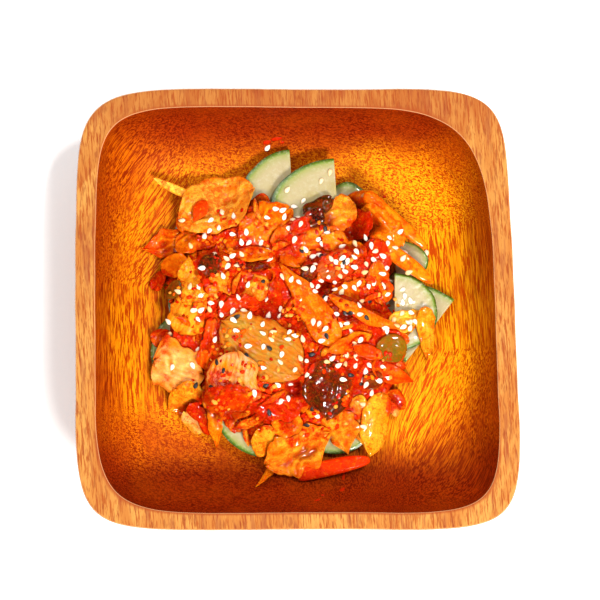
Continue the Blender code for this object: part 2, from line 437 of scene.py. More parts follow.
def wood_material():
    """Oiled red-brown hardwood with its grain along Y.

    The mesh's tint holds three shares (painted gold sheen on the floor, dark wood that is partly
    end grain and partly painted shade, mottled figure), and its paste holds how far the grain leans aside.
    """
    n = Nodes("bowl_wood")
    tilt = (3.0, 0.0, -4.0)
    painted_sheen_share, end_grain_and_shade_share, mottle_share = n.split(n.attribute("tint", "Color"))
    sway = n.attribute("paste", "Fac")
    fibres = n.noise(n.place((1.4, 0.10, 1.3), tilt, sway), 3.0, 0.62, 0.2)
    bands = n.noise(n.place((0.12, 0.014, 0.3), tilt, sway), 3.0, 0.5, 0.6)
    mottle = n.noise(n.place((0.85, 1.5, 1.2), (0, 0, 14)), 3.0, 0.62, 0.9)
    pores = n.noise(n.place((1.25, 0.16, 1.25), tilt), 2.0, 0.55, 0.2)
    pore_share = n.range(pores, 0.56, 0.66)
    clouds = n.noise(n.place((0.05, 0.03, 0.05)), 2.0)
    figure = n.blend(mottle_share, fibres, mottle)

    # Painted sheen: the floor is lit gold as if its oil reflected the lamps.
    painted_sheen = n.mix(n.range(figure, 0.555, 0.455), *PAINTED_SHEEN_WOOD)
    painted_sheen = n.mix(n.range(bands, 0.42, 0.62, 0.0, 0.35), painted_sheen, PAINTED_SHEEN_BAND)
    plain = n.mix(n.range(figure, 0.57, 0.43), *PLAIN_WOOD)
    plain = n.mix(n.range(bands, 0.38, 0.62, 0.0, 0.5), plain, PLAIN_BAND)
    dark = n.mix(n.range(figure, 0.58, 0.42), *DARK_WOOD)
    inside = n.mix(painted_sheen_share, plain, painted_sheen)
    # Darker wood: partly end grain, partly painted shade on the walls and in the near corners.
    inside = n.mix(end_grain_and_shade_share, inside, dark)
    inside = n.mix(n.range(clouds, 0.42, 0.68, 0.0, 0.25), inside, CLOUD)
    inside = n.mix(n.math("MULTIPLY", pore_share, 0.45), inside, PORE)

    pale = n.mix(n.range(bands, 0.38, 0.62), *RIM_WOOD)
    rim_fibres = n.noise(n.place((1.5, 0.10, 1.2), tilt), 4.0, 0.65)
    pale = n.mix(n.range(rim_fibres, 0.47, 0.62), pale, RIM_FIBRE)
    streaks = n.noise(n.place((0.35, 0.035, 0.5), tilt), 3.0, 0.6)
    pale = n.mix(n.range(streaks, 0.52, 0.66, 0.0, 0.5), pale, RIM_STREAK)
    pale = n.mix(n.math("MULTIPLY", pore_share, 0.5), pale, RIM_PORE)
    pale = n.mix(n.math("MULTIPLY", end_grain_and_shade_share, 0.9), pale, RIM_SHADE)

    # The rim's top is pale wood, the outside is part pale, and the rim's rounded edges get a painted
    # highlight.
    facing = n.split(n.add("NewGeometry", {}, "Normal"))
    x, y, height = n.split(n.place())
    rim = n.range(height, BOWL_HEIGHT - 1.2, BOWL_HEIGHT - 0.5)
    rim = n.math("MULTIPLY", rim, n.range(facing[2], 0.75, 0.95))
    outward = n.math("ADD", n.math("MULTIPLY", x, facing[0]), n.math("MULTIPLY", y, facing[1]))
    outward = n.math("MAXIMUM", n.range(outward, 5.0, 20.0), n.range(facing[2], -0.3, -0.6))
    rim = n.math("MAXIMUM", rim, n.math("MULTIPLY", outward, 0.6))
    # Painted highlight on the rounded edges of the rim.
    painted_edge_highlight = n.range(height, BOWL_HEIGHT - 0.55, BOWL_HEIGHT - 0.35, 0.0, 0.55)
    painted_edge_highlight = n.math("MULTIPLY", painted_edge_highlight, n.range(facing[2], 0.95, 0.80))
    n.set(base_color=n.mix(painted_edge_highlight, n.mix(rim, inside, pale), PAINTED_EDGE_HIGHLIGHT))

    rough = n.math("ADD", n.math("MULTIPLY", rim, 0.2), n.range(fibres, 0.3, 0.8, 0.5, 0.62))
    grooves = n.math("SUBTRACT", n.math("MULTIPLY", figure, 1.2), pore_share)
    n.set(roughness=rough, normal=n.bump(grooves, 0.12, 0.6), specular_ior_level=0.04)
    return n.material


def wood_zones(points, outside):
    """Per point of the bowl: shares of painted gold sheen, of dark end grain with painted shade, and of
    mottled figure.
    """
    x, y, z = points[:, 0], points[:, 1], points[:, 2]
    # The gold share is a painted sheen: the floor and the foot of the walls are lit as if the oil reflected
    # the lamps.
    back = 70.0 + 9.0 * smoothstep(0.0, 40.0, x)
    near = 56.0 + 5.0 * smoothstep(0.0, 50.0, x)
    reach = np.where(y > 0, back, near)
    wander = 1 + 0.06 * noise2(x / 16.0, y / 16.0, 71)
    out = ((np.abs(x) / 82.0) ** 3.6 + (np.abs(y) / reach) ** 3.6) ** (1 / 3.6) * wander
    painted_sheen = 1 - smoothstep(0.84, 1.06, out)
    # Painted shadow of the heap on the floor at its back left.
    painted_heap_shadow = 1 - smoothstep(58.0, 78.0, np.hypot(x + 10.0, y - 2.0))
    painted_sheen = painted_sheen * (1 - 0.6 * painted_heap_shadow * smoothstep(-20, 20, y - x))

    # Darker wood on the walls: partly end grain, partly painted shade.
    far = np.abs(y) - np.where(y > 0, 66.0, 58.0)
    dark = smoothstep(0.0, 12.0, far) * (1 - 0.35 * smoothstep(50.0, 80.0, np.abs(x)))
    right_wall = 0.5 * smoothstep(36.0, 48.0, z) * smoothstep(74.0, 80.0, x) * smoothstep(30, -30, y)
    dark = np.maximum(dark, right_wall)
    dark = np.maximum(dark, 0.45 * smoothstep(72.0, 84.0, -x))
    # Painted shade in the near corners.
    dark = np.maximum(dark, smoothstep(86.0, 102.0, np.hypot(x, y)) * smoothstep(-40.0, -60.0, y))
    back_rim = 0.12 + 0.45 * smoothstep(70.0, 84.0, y) * (z > BOWL_HEIGHT - 0.6)
    dark = np.where(outside, back_rim, dark)

    mottle = smoothstep(30.0, 48.0, y) * smoothstep(-62.0, -30.0, x)
    mottle = mottle + smoothstep(-30.0, -52.0, y) * smoothstep(10.0, -30.0, x)
    return np.stack([painted_sheen * ~outside, dark, np.clip(mottle, 0, 1) * ~outside], -1)


def grain_sway(points):
    """How far the grain leans aside, in mm: it slants at the back left and the near right."""
    x, y = points[:, 0], points[:, 1]
    back_left = np.maximum(y - 12.0, 0) * smoothstep(-22.0, -50.0, x)
    near_right = np.minimum(y + 15.0, 0) * smoothstep(22.0, 50.0, x)
    return -0.75 * back_left - 0.6 * near_right


# Stains on the food, in linear light.
STAIN = (0.56, 0.030, 0.0)
GOLD = (1.0, 0.36, 0.006)
CHILI_LINE = (0.54, 0.020, 0.0)
CHILI_GRAIN = (0.42, 0.004, 0.0)


def food_material(name, roughness, glow, fine, wrinkle, coat=0.5, mottling=1.0):
    """Wet translucent food: the mesh's tint, stained, with more chili grains where it has paste.

    fine and wrinkle are the fineness and height (mm) of its ridges; coat is how wet it is.
    """
    n = Nodes(name)
    tint = n.attribute("tint", "Color")
    paste = n.attribute("paste", "Fac")
    mottle = n.noise(n.place(0.55), 4.0, 0.62, 0.8)
    speck = n.noise(n.place(1.9), 3.0, 0.6)
    swirl = n.noise(n.place(0.42, (0, 0, 30)), 3.0, 0.6, 1.6)
    smear = n.noise(n.place(0.14), 3.0, 0.55, 0.6)
    cover = n.math("ADD", mottle, n.range(smear, 0.44, 0.62, -0.05, 0.09))
    colour = n.mix(n.range(cover, 0.50, 0.62, 0.0, 0.78 * mottling), tint, STAIN)
    colour = n.mix(n.range(mottle, 0.46, 0.32, 0.0, 0.5 * mottling), colour, GOLD)
    line = n.range(n.math("ABSOLUTE", n.math("SUBTRACT", swirl, 0.5)), 0.045, 0.008)
    colour = n.mix(n.math("MULTIPLY", line, 0.6 * mottling), colour, CHILI_LINE)
    grains = n.range(n.math("ADD", speck, n.math("MULTIPLY", paste, 0.24)), 0.62, 0.74)
    colour = n.mix(n.math("MULTIPLY", grains, 0.8), colour, CHILI_GRAIN)
    n.set(base_color=colour)
    beads = n.noise(n.place(0.85, (0, 0, 15)), 1.0, 0.5, 0.5)
    bumps = n.math("MULTIPLY", n.math("ADD", paste, 0.30), beads)
    ridges = n.noise(n.place(fine), 3.0, 0.6, 0.6)
    under = n.bump(ridges, wrinkle, 0.9)
    n.set(normal=n.bump(bumps, 0.6, 0.8, under))
    n.set(roughness=roughness, subsurface_weight=glow, subsurface_radius=(1.0, 0.30, 0.06))
    wet = n.noise(n.place(0.30, (0, 0, 50)), 2.0, 0.5, 0.8)
    wet = n.range(wet, 0.46, 0.58, 0.15 * coat, 2.0 * coat)
    n.set(subsurface_scale=1.2 * MM, coat_weight=wet, coat_roughness=0.05, specular_ior_level=0.02)
    return n.material


def seed_material(name, dark):
    """A sesame seed's dull coat, with tan or brown mottling."""
    n = Nodes(name)
    tint = n.attribute("tint", "Color")
    mottle = n.noise(n.place(1.5), 2.0)
    shade = (0.02, 0.015, 0.012) if dark else (0.80, 0.50, 0.24)
    n.set(base_color=n.mix(n.range(mottle, 0.5, 0.85, 0.0, 0.5), tint, shade))
    n.set(roughness=0.42, normal=n.bump(mottle, 0.08, 0.4), specular_ior_level=0.45)
    n.set(subsurface_weight=0.0 if dark else 0.15, subsurface_radius=(1.0, 0.7, 0.45))
    n.set(subsurface_scale=0.6 * MM)
    return n.material


def cucumber_material():
    """Moist flesh and skin, with a frosty mottling over the tint."""
    n = Nodes("cucumber_flesh")
    tint = n.attribute("tint", "Color")
    frost = n.noise(n.place(0.8), 5.0, 0.65)
    n.set(base_color=n.mix(n.range(frost, 0.48, 0.72, 0.0, 0.4), tint, (0.50, 0.47, 0.33)))
    n.set(roughness=0.30, coat_weight=0.6, coat_roughness=0.1, normal=n.bump(frost, 0.18, 0.6))
    n.set(subsurface_weight=0.45, subsurface_radius=(0.75, 1.0, 0.45), subsurface_scale=2.2 * MM)
    return n.material


def floor_material():
    n = Nodes("floor_paper")
    grain = n.noise(n.place(0.4), 2.0)
    n.set(base_color=n.mix(grain, (0.95, 0.95, 0.95), (0.98, 0.98, 0.98)), roughness=0.9)
    return n.material


# ------------------------------------------------------------------ bowl


def between(a, b, share):
    """Numbers part of the way from those of a to those of b."""
    return tuple(p + (q - p) * share for p, q in zip(a, b))


def square_ring(half, corners, z):
    """Points round a rounded square whose corners differ, as in the CAD model."""
    angle = 2 * math.pi * (np.arange(RING_POINTS) + 0.5) / RING_POINTS
    angle = angle + 0.6 * np.sin(4 * angle) / 4
    power = np.array(corners)[(angle // (math.pi / 2)).astype(int)]
    c, s = np.cos(angle), np.sin(angle)
    radius = half / (np.abs(c) ** power + np.abs(s) ** power) ** (1 / power)
    x, y = radius * c, radius * s
    lean = np.where(x > 0, -RIGHT_LEAN, LEFT_LEAN)
    x = x * (1 + lean * y / RIM_HALF) + SIDE_SHIFT
    return np.stack([x, y, np.full_like(x, z)], axis=-1)


def wall(low, high, bend):
    """Rings up a wall, which leaves low (half width, z, corners) level and reaches high upright."""
    rings = []
    for i in range(WALL_RINGS + 1):
        turn = math.pi / 2 * (1 - i / WALL_RINGS)
        across = math.cos(turn) ** (2 / bend)
        up = 1 - math.sin(turn) ** (2 / bend)
        half = low[0] + (high[0] - low[0]) * across
        z = low[1] + (high[1] - low[1]) * up
        rings.append(square_ring(half, between(low[2], high[2], across), z))
    return rings


def rounded_edge(half, z, size, corners, outward, steps=4):
    """Rings over a rounded rim edge, from the wall's top to the flat; outward is 1 or -1."""
    rings = []
    for i in range(1, steps + 1):
        turn = math.pi / 2 * i / steps
        reach = half - outward * size * (1 - math.cos(turn))
        rings.append(square_ring(reach, corners, z - size * (1 - math.sin(turn))))
    return rings


def make_bowl():
    """Rings from the middle of the foot up the outside, over the rim and down to the floor."""
    mouth = RIM_HALF - RIM_WIDTH
    underside = [
        square_ring(FOOT_HALF * k / FOOT_RINGS - FOOT_BEVEL * (k == FOOT_RINGS), FOOT_CORNERS, 0.0)
        for k in range(1, FOOT_RINGS + 1)
    ]
    outside = wall(
        (FOOT_HALF, FOOT_BEVEL, FOOT_CORNERS),
        (RIM_HALF, BOWL_HEIGHT - RIM_BEVEL, OUTER_CORNERS),
        OUTSIDE_BEND,
    )
    outer_edge = rounded_edge(RIM_HALF, BOWL_HEIGHT, RIM_BEVEL, OUTER_CORNERS, 1)
    flat_from, flat_to = RIM_HALF - RIM_BEVEL, mouth + 0.5
    top = []
    for part in np.arange(1, RIM_RINGS) / RIM_RINGS:
        half = flat_from + (flat_to - flat_from) * part
        top.append(square_ring(half, between(OUTER_CORNERS, INNER_CORNERS, part), BOWL_HEIGHT))
    inner_edge = rounded_edge(mouth, BOWL_HEIGHT, MOUTH_BEVEL, INNER_CORNERS, -1)[::-1]
    inside = wall(
        (FLOOR_HALF, FLOOR_Z, FLOOR_CORNERS),
        (mouth, BOWL_HEIGHT - MOUTH_BEVEL, INNER_CORNERS),
        INSIDE_BEND,
    )[::-1]
    floor = [
        square_ring(FLOOR_HALF * k / FLOOR_RINGS, FLOOR_CORNERS, FLOOR_Z)
        for k in range(FLOOR_RINGS - 1, 0, -1)
    ]
    rings = underside + outside + outer_edge + top + inner_edge + inside + floor
    points = np.array(rings)
    before = len(underside + outside + outer_edge)
    after = len(rings) - before - len(top)
    share = np.concatenate([np.zeros(before), np.linspace(0.1, 0.9, len(top)), np.ones(after)])
    points += thinned(points, share[:, None])
    points += hand_work(points)
    points[..., 1] = points[..., 1] * STRETCH + STRETCH_SHIFT * smoothstep(0.0, 12.0, points[..., 2])
    points = points.reshape(-1, 3)
    faces = tube_faces(len(rings), RING_POINTS)
    outer = (before + len(top)) * RING_POINTS
    zones = wood_zones(points, np.arange(len(points)) < outer)
    bowl = mesh_object("wooden_bowl", points, faces, zones, grain_sway(points))
    hand_over(bowl, wood_material(), "wood", "bowl")
    return bowl


def thinned(points, share):
    """Moves the inner edge of the rim outward at the near and far sides; share is 1 inside."""
    y, z = points[..., 1], points[..., 2]
    share = share * smoothstep(24.0, 48.0, z)
    shift = np.zeros_like(points)
    shift[..., 1] = FAR_THINNING * share * smoothstep(30.0, 78.0, y)
    shift[..., 1] -= NEAR_THINNING * share * smoothstep(30.0, 78.0, -y)
    return shift


def hand_work(points):
    """Small unevenness left by carving and sanding; none on the foot."""
    x, y, z = points[..., 0], points[..., 1], points[..., 2]
    lift = smoothstep(3.0, 12.0, z)
    shift = np.zeros_like(points)
    shift[..., 0] = 0.22 * rough2(y / 24.0, z / 18.0, 3) * lift * np.sign(x)
    shift[..., 1] = 0.22 * rough2(x / 24.0, z / 18.0, 4) * lift * np.sign(y)
    shift[..., 2] = -0.12 * np.abs(rough2(x / 30.0, y / 30.0, 5)) * lift
    return shift


def field_from(obj):
    """A height field that holds the upper side of one object, probed at every other cell."""
    field = Field()
    tree = BVHTree.FromObject(obj, bpy.context.evaluated_depsgraph_get())
    ticks = (np.arange(0, FIELD_SIZE, 2) * CELL - FIELD_HALF) * MM
    coarse = np.zeros((len(ticks), len(ticks)))
    for i, x in enumerate(ticks):
        for j, y in enumerate(ticks):
            hit = tree.ray_cast(Vector((x, y, CASTING_HEIGHT)), DOWN)[0]
            coarse[i, j] = hit.z / MM if hit else 0.0
    places = np.arange(len(ticks))
    spread = np.linspace(0, len(ticks) - 1, FIELD_SIZE)
    rows = np.array([np.interp(spread, places, column) for column in coarse.T]).T
    field.z = np.array([np.interp(spread, places, row) for row in rows])
    return field


# ------------------------------------------------------------------ kimchi core


def rgb(red, green, blue):
    """A colour given as it looks on a screen, 0 to 255, as linear light."""
    c = np.array([red, green, blue]) / 255.0
    return np.where(c <= 0.04045, c / 12.92, ((c + 0.055) / 1.055) ** 2.4)


# Colours of the food. PASTE is the red paste; DEEP is a dark red, used as the painted shade of paste and
# pieces in the gaps and as the dark red of some pieces.
PASTE = rgb(190, 26, 0)
DEEP = rgb(104, 5, 0)
ORANGE = rgb(238, 104, 4)
AMBER = rgb(252, 146, 14)
YELLOW = rgb(248, 176, 40)
RED = rgb(214, 50, 2)
PALE = rgb(238, 190, 110)
ROSE = rgb(236, 180, 130)
OLIVE = rgb(176, 134, 44)
GREEN = rgb(112, 104, 16)
MAROON = rgb(72, 8, 3)
CARROT = rgb(244, 104, 6)


def heap_radius(angle):
    """Half the heap's width in one direction: a circle with waves (how many, size, phase)."""
    waves = ((2, 3.5, 1.75), (3, 1.8, 0.4), (5, 1.6, 2.1), (9, 1.1, 0.9))
    return HEAP_RADIUS + sum(size * np.cos(n * angle + phase) for n, size, phase in waves)


def on_heap(angle, reach):
    """The place at a heading and a distance from the heap's middle."""
    return HEAP_X + reach * math.cos(angle), HEAP_Y + reach * math.sin(angle)


def random_spot(turn=FULL_TURN, share=1.0):
    """A random place within the given share of the heap."""
    angle = RNG.uniform(0, turn)
    return on_heap(angle, share * math.sqrt(RNG.uniform(0, 1)) * float(heap_radius(angle)))


def core_shape(field):
    """The lumpy dome that the pieces lie on, as a grid of rings; it joins the field."""
    sectors, rings = ((420, 150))
    angle = 2 * np.pi * np.arange(sectors) / sectors
    share = np.linspace(1, 0.01, rings)[:, None]
    radius = share * heap_radius(angle)[None, :]
    x = HEAP_X + radius * np.cos(angle)
    y = HEAP_Y + radius * np.sin(angle)
    dome = HEAP_EDGE_Z + (HEAP_TOP_Z - HEAP_EDGE_Z) * (1 - share**2.4)
    lumps = 1.9 * rough2(x / 9.0, y / 9.0, 31, 2) + 0.75 * np.abs(rough2(x / 2.6, y / 2.6, 32, 3))
    z = np.maximum(dome + lumps * (1 - 0.4 * share), field.sample(x, y) + 0.15)
    z[0] = field.sample(x[0], y[0]) - 0.3
    field.splat(x.ravel(), y.ravel(), z.ravel())
    return x, y, z


def make_core(field, x, y, z):
    """Paste and mince: the dome, raised to fill the small gaps between the pieces on it."""
    gap = int(round(GAP_FILL / CELL))
    filled = blur(-widest(-widest(field.z, gap), gap), 0.5 / CELL)
    mince = 0.5 * rough2(x / 1.9, y / 1.9, 35, 2) + 0.35 * noise2(x / 0.95, y / 0.95, 36)
    sauce = field.sample(x, y, filled)
    narrow = smoothstep(0.2, 1.6, sauce - field.sample(x, y))
    sauce = sauce - SAUCE_SINK + mince * (0.3 + 0.7 * narrow) - 1.6 * (1 - narrow)
    inner = slice(2, None)
    z[inner] = np.maximum(z[inner], sauce[inner])
    shade = smoothstep(-0.7, 0.9, rough2(x / 3.0, y / 3.0, 33))
    colours = blend(PASTE, RED, shade)
    bits = smoothstep(0.25, 0.7, rough2(x / 1.7, y / 1.7, 37, 2))
    colours = blend(colours, AMBER, 0.75 * bits)
    # Painted shade: darker red where the core lies deep below the pieces round it.
    depth = field.sample(x, y, blur(field.z, 3.0 / CELL)) - z
    colours = blend(colours, DEEP, 0.92 * smoothstep(0.5, 3.8, depth))
    bottom = np.stack([x[:1], y[:1], z[:1]], -1)
    centre = np.array([[[HEAP_X, HEAP_Y, 0.0]]])
    under = centre + (bottom - centre) * (0.02, 0.02, 1.0)
    points = np.concatenate([under, np.stack([x, y, z], -1)])
    colours = np.concatenate([colours[:1], colours]).reshape(-1, 3)
    rows, columns = points.shape[:2]
    faces = tube_faces(rows, columns)
    core = mesh_object("kimchi_core", points.reshape(-1, 3), faces, colours, np.ones(len(colours)))
    hand_over(core, food_material("kimchi_paste", 0.4, 0.2, 0.8, 0.5, 0.4), "kimchi", "kimchi_heap")


# ------------------------------------------------------------------ draped pieces

# The two powers that shape a piece's end.
ENDS = {
    "round": (2.2, 0.5),
    "oval": (2.6, 0.8),
    "point": (1.15, 1.0),
    "blunt": (5.0, 0.6),
    "cut": (16.0, 0.9),
}

# What each kind of piece is like: thickness, stiffness, raggedness, frill, wrinkle, width and
# height of its pleats, height of its ribs, and the colours of its high and low places.
KINDS = {
    "leaf": (1.0, 3.0, 0.22, 0.9, 0.55, 5.0, 1.1, 0.0, AMBER, ORANGE),
    "red_leaf": (1.0, 2.6, 0.24, 0.9, 0.6, 4.2, 1.1, 0.0, ORANGE, RED),
    "smooth": (1.3, 5.0, 0.10, 0.25, 0.25, 7.0, 0.8, 0.0, YELLOW, AMBER),
    "stalk": (2.4, 6.0, 0.14, 0.0, 0.3, 8.0, 0.5, 0.28, PALE, AMBER),
    "glass": (2.2, 7.0, 0.08, 0.0, 0.3, 10.0, 0.9, 0.28, OLIVE, rgb(204, 114, 20)),
    "ribbed": (2.0, 5.0, 0.10, 0.2, 0.2, 9.0, 0.4, 0.42, ROSE, AMBER),
    "strap": (1.5, 5.0, 0.08, 0.2, 0.35, 6.0, 0.7, 0.10, CARROT, RED),
    "shred": (1.5, 3.0, 0.22, 0.3, 0.4, 4.0, 0.5, 0.0, ORANGE, RED),
    "green": (2.0, 6.0, 0.05, 0.0, 0.12, 9.0, 0.2, 0.0, rgb(98, 84, 8), rgb(132, 98, 12)),
    "dark": (2.2, 6.0, 0.08, 0.3, 0.2, 9.0, 0.6, 0.0, MAROON, rgb(62, 32, 6)),
    "pepper": (1.6, 5.0, 0.10, 0.2, 0.2, 7.0, 0.3, 0.0, GREEN, MAROON),
    "chili": (1.2, 4.0, 0.10, 0.4, 0.3, 5.0, 0.4, 0.0, DEEP, PASTE),
}


def half_width(u, head, tail):
    """The outline's half width along a piece, from 0 to 1: u is 1 at the head, -1 at the tail."""
    size = np.abs(u)
    at_head = (1 - size ** ENDS[head][0]) ** ENDS[head][1]
    at_tail = (1 - size ** ENDS[tail][0]) ** ENDS[tail][1]
    return np.where(u > 0, at_head, at_tail)


def drape(field, batch, kind, x, y, length, width, heading, head, tail, seed,
          bend=0.0, cup=0.0, lift=0.0, fold=None, mid=None, edge=None, paste=0.2):
    """Lays one thin piece on the field and adds it.

    bend curves it sideways, cup raises its long edges and lift its head, all in mm, and
    fold = (place across from -1 to 1, height in mm) presses a ridge along it.
    """
    thick, stiff, ragged, frill, wrinkle, pleat_width, pleat_height, rib_height = KINDS[kind][:8]
    high_tint, low_tint = KINDS[kind][8:]
    rows = max(int(length / SPACING), 6) + 1
    columns = max(int(width / SPACING), 4) + 1
    u = np.linspace(-1, 1, rows)[:, None]
    v = np.linspace(-1, 1, columns)[None, :]
    u = np.sin(u * np.pi / 2) * 0.35 + u * 0.65
    u, v = np.broadcast_arrays(u, v)

    # The outline, with torn edges, laid out on the plane.
    reach = half_width(np.clip(u, -0.999, 0.999), head, tail) * width / 2 + 0.12
    side = np.where(v > 0, 11, 57)
    along = u * length / 2
    jag = 1.2 * noise2(along / 5.0, side * 1.3, seed) + 0.5 * noise2(along / 1.6, side * 2.1, seed)
    across = v * reach * (1 + ragged * jag) + bend * (u**2 - 0.3)
    across = across + 0.09 * width * noise2(along / 7.0, 0 * v + 0.5, seed + 2)
    along = along + 0.10 * width * noise2(v * width / 5.0, 3.7 + 0 * v, seed + 5) * np.abs(u) ** 3
    turn = math.radians(heading)
    px = x + along * math.cos(turn) - across * math.sin(turn)
    py = y + along * math.sin(turn) + across * math.cos(turn)

    # The underside: what it lies on, and its own waves, pleats and dents.
    base = field.draped(px, py, stiff)
    wave = noise2(along / 2.4, side * 0.7, seed + 9) * np.abs(v) ** 2.5 * frill * 1.3
    line = v * reach / pleat_width + 0.9 * noise2(along / 8.0, v * 1.2, seed + 13) + 0.31 * seed
    pleats = (1 - 2 * np.abs(line - np.round(line))) ** 1.4
    crumple = 1 - 2 * np.abs(noise2(px / 3.4, py / 3.4, seed + 21))
    crumple = crumple + 0.45 * noise2(px / 1.3, py / 1.3, seed + 22)
    dents = wrinkle * crumple + pleat_height * (pleats - 0.4)
    rise = cup * np.abs(v) ** 1.8 + lift * np.clip(u, 0, 1) ** 2
    if fold is not None:
        rise = rise + fold[1] * np.exp(-(((v - fold[0]) / 0.28) ** 2))
    under = np.maximum(base + rise + wave + dents, field.sample(px, py) + 0.05)

    # Its thickness, with ribs and a lumpy layer of paste.
    ribs = rib_height * np.cos(v * reach * 2 * np.pi / 1.9 + 1.5 * noise2(along / 9, v * 2, seed + 3))
    rim = np.maximum(np.abs(u) ** 14, np.abs(v) ** (10 if columns > 12 else 5))
    body = thick * (0.22 + 0.78 * np.sqrt(np.clip(1 - rim, 0, 1))) + np.maximum(ribs, -0.3) * (1 - rim)
    stain = paste * smoothstep(-0.2, 0.8, rough2(px / 4.0, py / 4.0, seed + 60))
    stain = np.clip(stain * (1.5 - 0.8 * pleats), 0, 1)
    stain = np.maximum(stain, 0.85 * smeared(px, py))
    body = body + 0.7 * stain * np.abs(noise2(px / 1.1, py / 1.1, seed + 61))
    over = under + np.maximum(body, 0.2)

    streak = noise2(v * width / 1.8 + 2 * noise2(along / 9, v, seed), along / 12.0, seed + 40)
    streak = 0.5 + 0.5 * streak
    patch = smoothstep(-0.6, 0.6, rough2(px / 6.0, py / 6.0, seed + 50))
    high = 0.45 * pleats + 0.30 * (crumple + 0.3) + 0.35 * streak + 0.35 * patch - 0.22
    rimward = smoothstep(0.55, 1.0, np.maximum(np.abs(v), np.abs(u) ** 2))
    high = np.clip(high, 0, 1) * (1 - (0.8 if rib_height else 0.45) * rimward)
    mid = high_tint if mid is None else mid
    edge = low_tint if edge is None else edge
    colour = blend(edge, mid, np.clip(high, 0, 1))
    wet_paste = blend(PASTE, RED, smoothstep(-0.4, 0.6, rough2(px / 1.8, py / 1.8, 45)))
    colour = blend(colour, wet_paste, stain).reshape(-1, 3)

    points = np.concatenate([stacked(px, py, over), stacked(px, py, under)])
    faces = closed_faces(rows, columns)
    batch.add(points, faces, np.concatenate([colour] * 2), np.concatenate([stain.ravel()] * 2))
    field.splat(px.ravel(), py.ravel(), over.ravel())


# Where red paste lies over whatever is there: x, y, size.
SMEARS = (
    (-57, -8, 4), (-38, -1, 6), (-33, -34, 9), (-43, -40, 5), (-15, -41, 9), (-7, 3, 8), (-39, -12, 6),
    (-39, 28, 5), (-24, 29, 7), (-58, 15, 6), (-3, 28, 7), (1, 35, 5), (26, 35, 6), (28, 25, 6),
    (11, 24, 5), (46, -22, 4), (22, -23, 6), (4, -24, 4), (-3, -51, 5), (11, -53, 4), (41, -39, 4),
)


def smeared(x, y):
    """How thickly the paste lies at each point, from 0 to 1."""
    share = np.zeros_like(x)
    for centre_x, centre_y, size in SMEARS:
        share = np.maximum(share, np.exp(-((x - centre_x) ** 2 + (y - centre_y) ** 2) / size**2))
    return smoothstep(0.38, 0.80, share + 0.42 * rough2(x / 2.6, y / 2.6, 44))


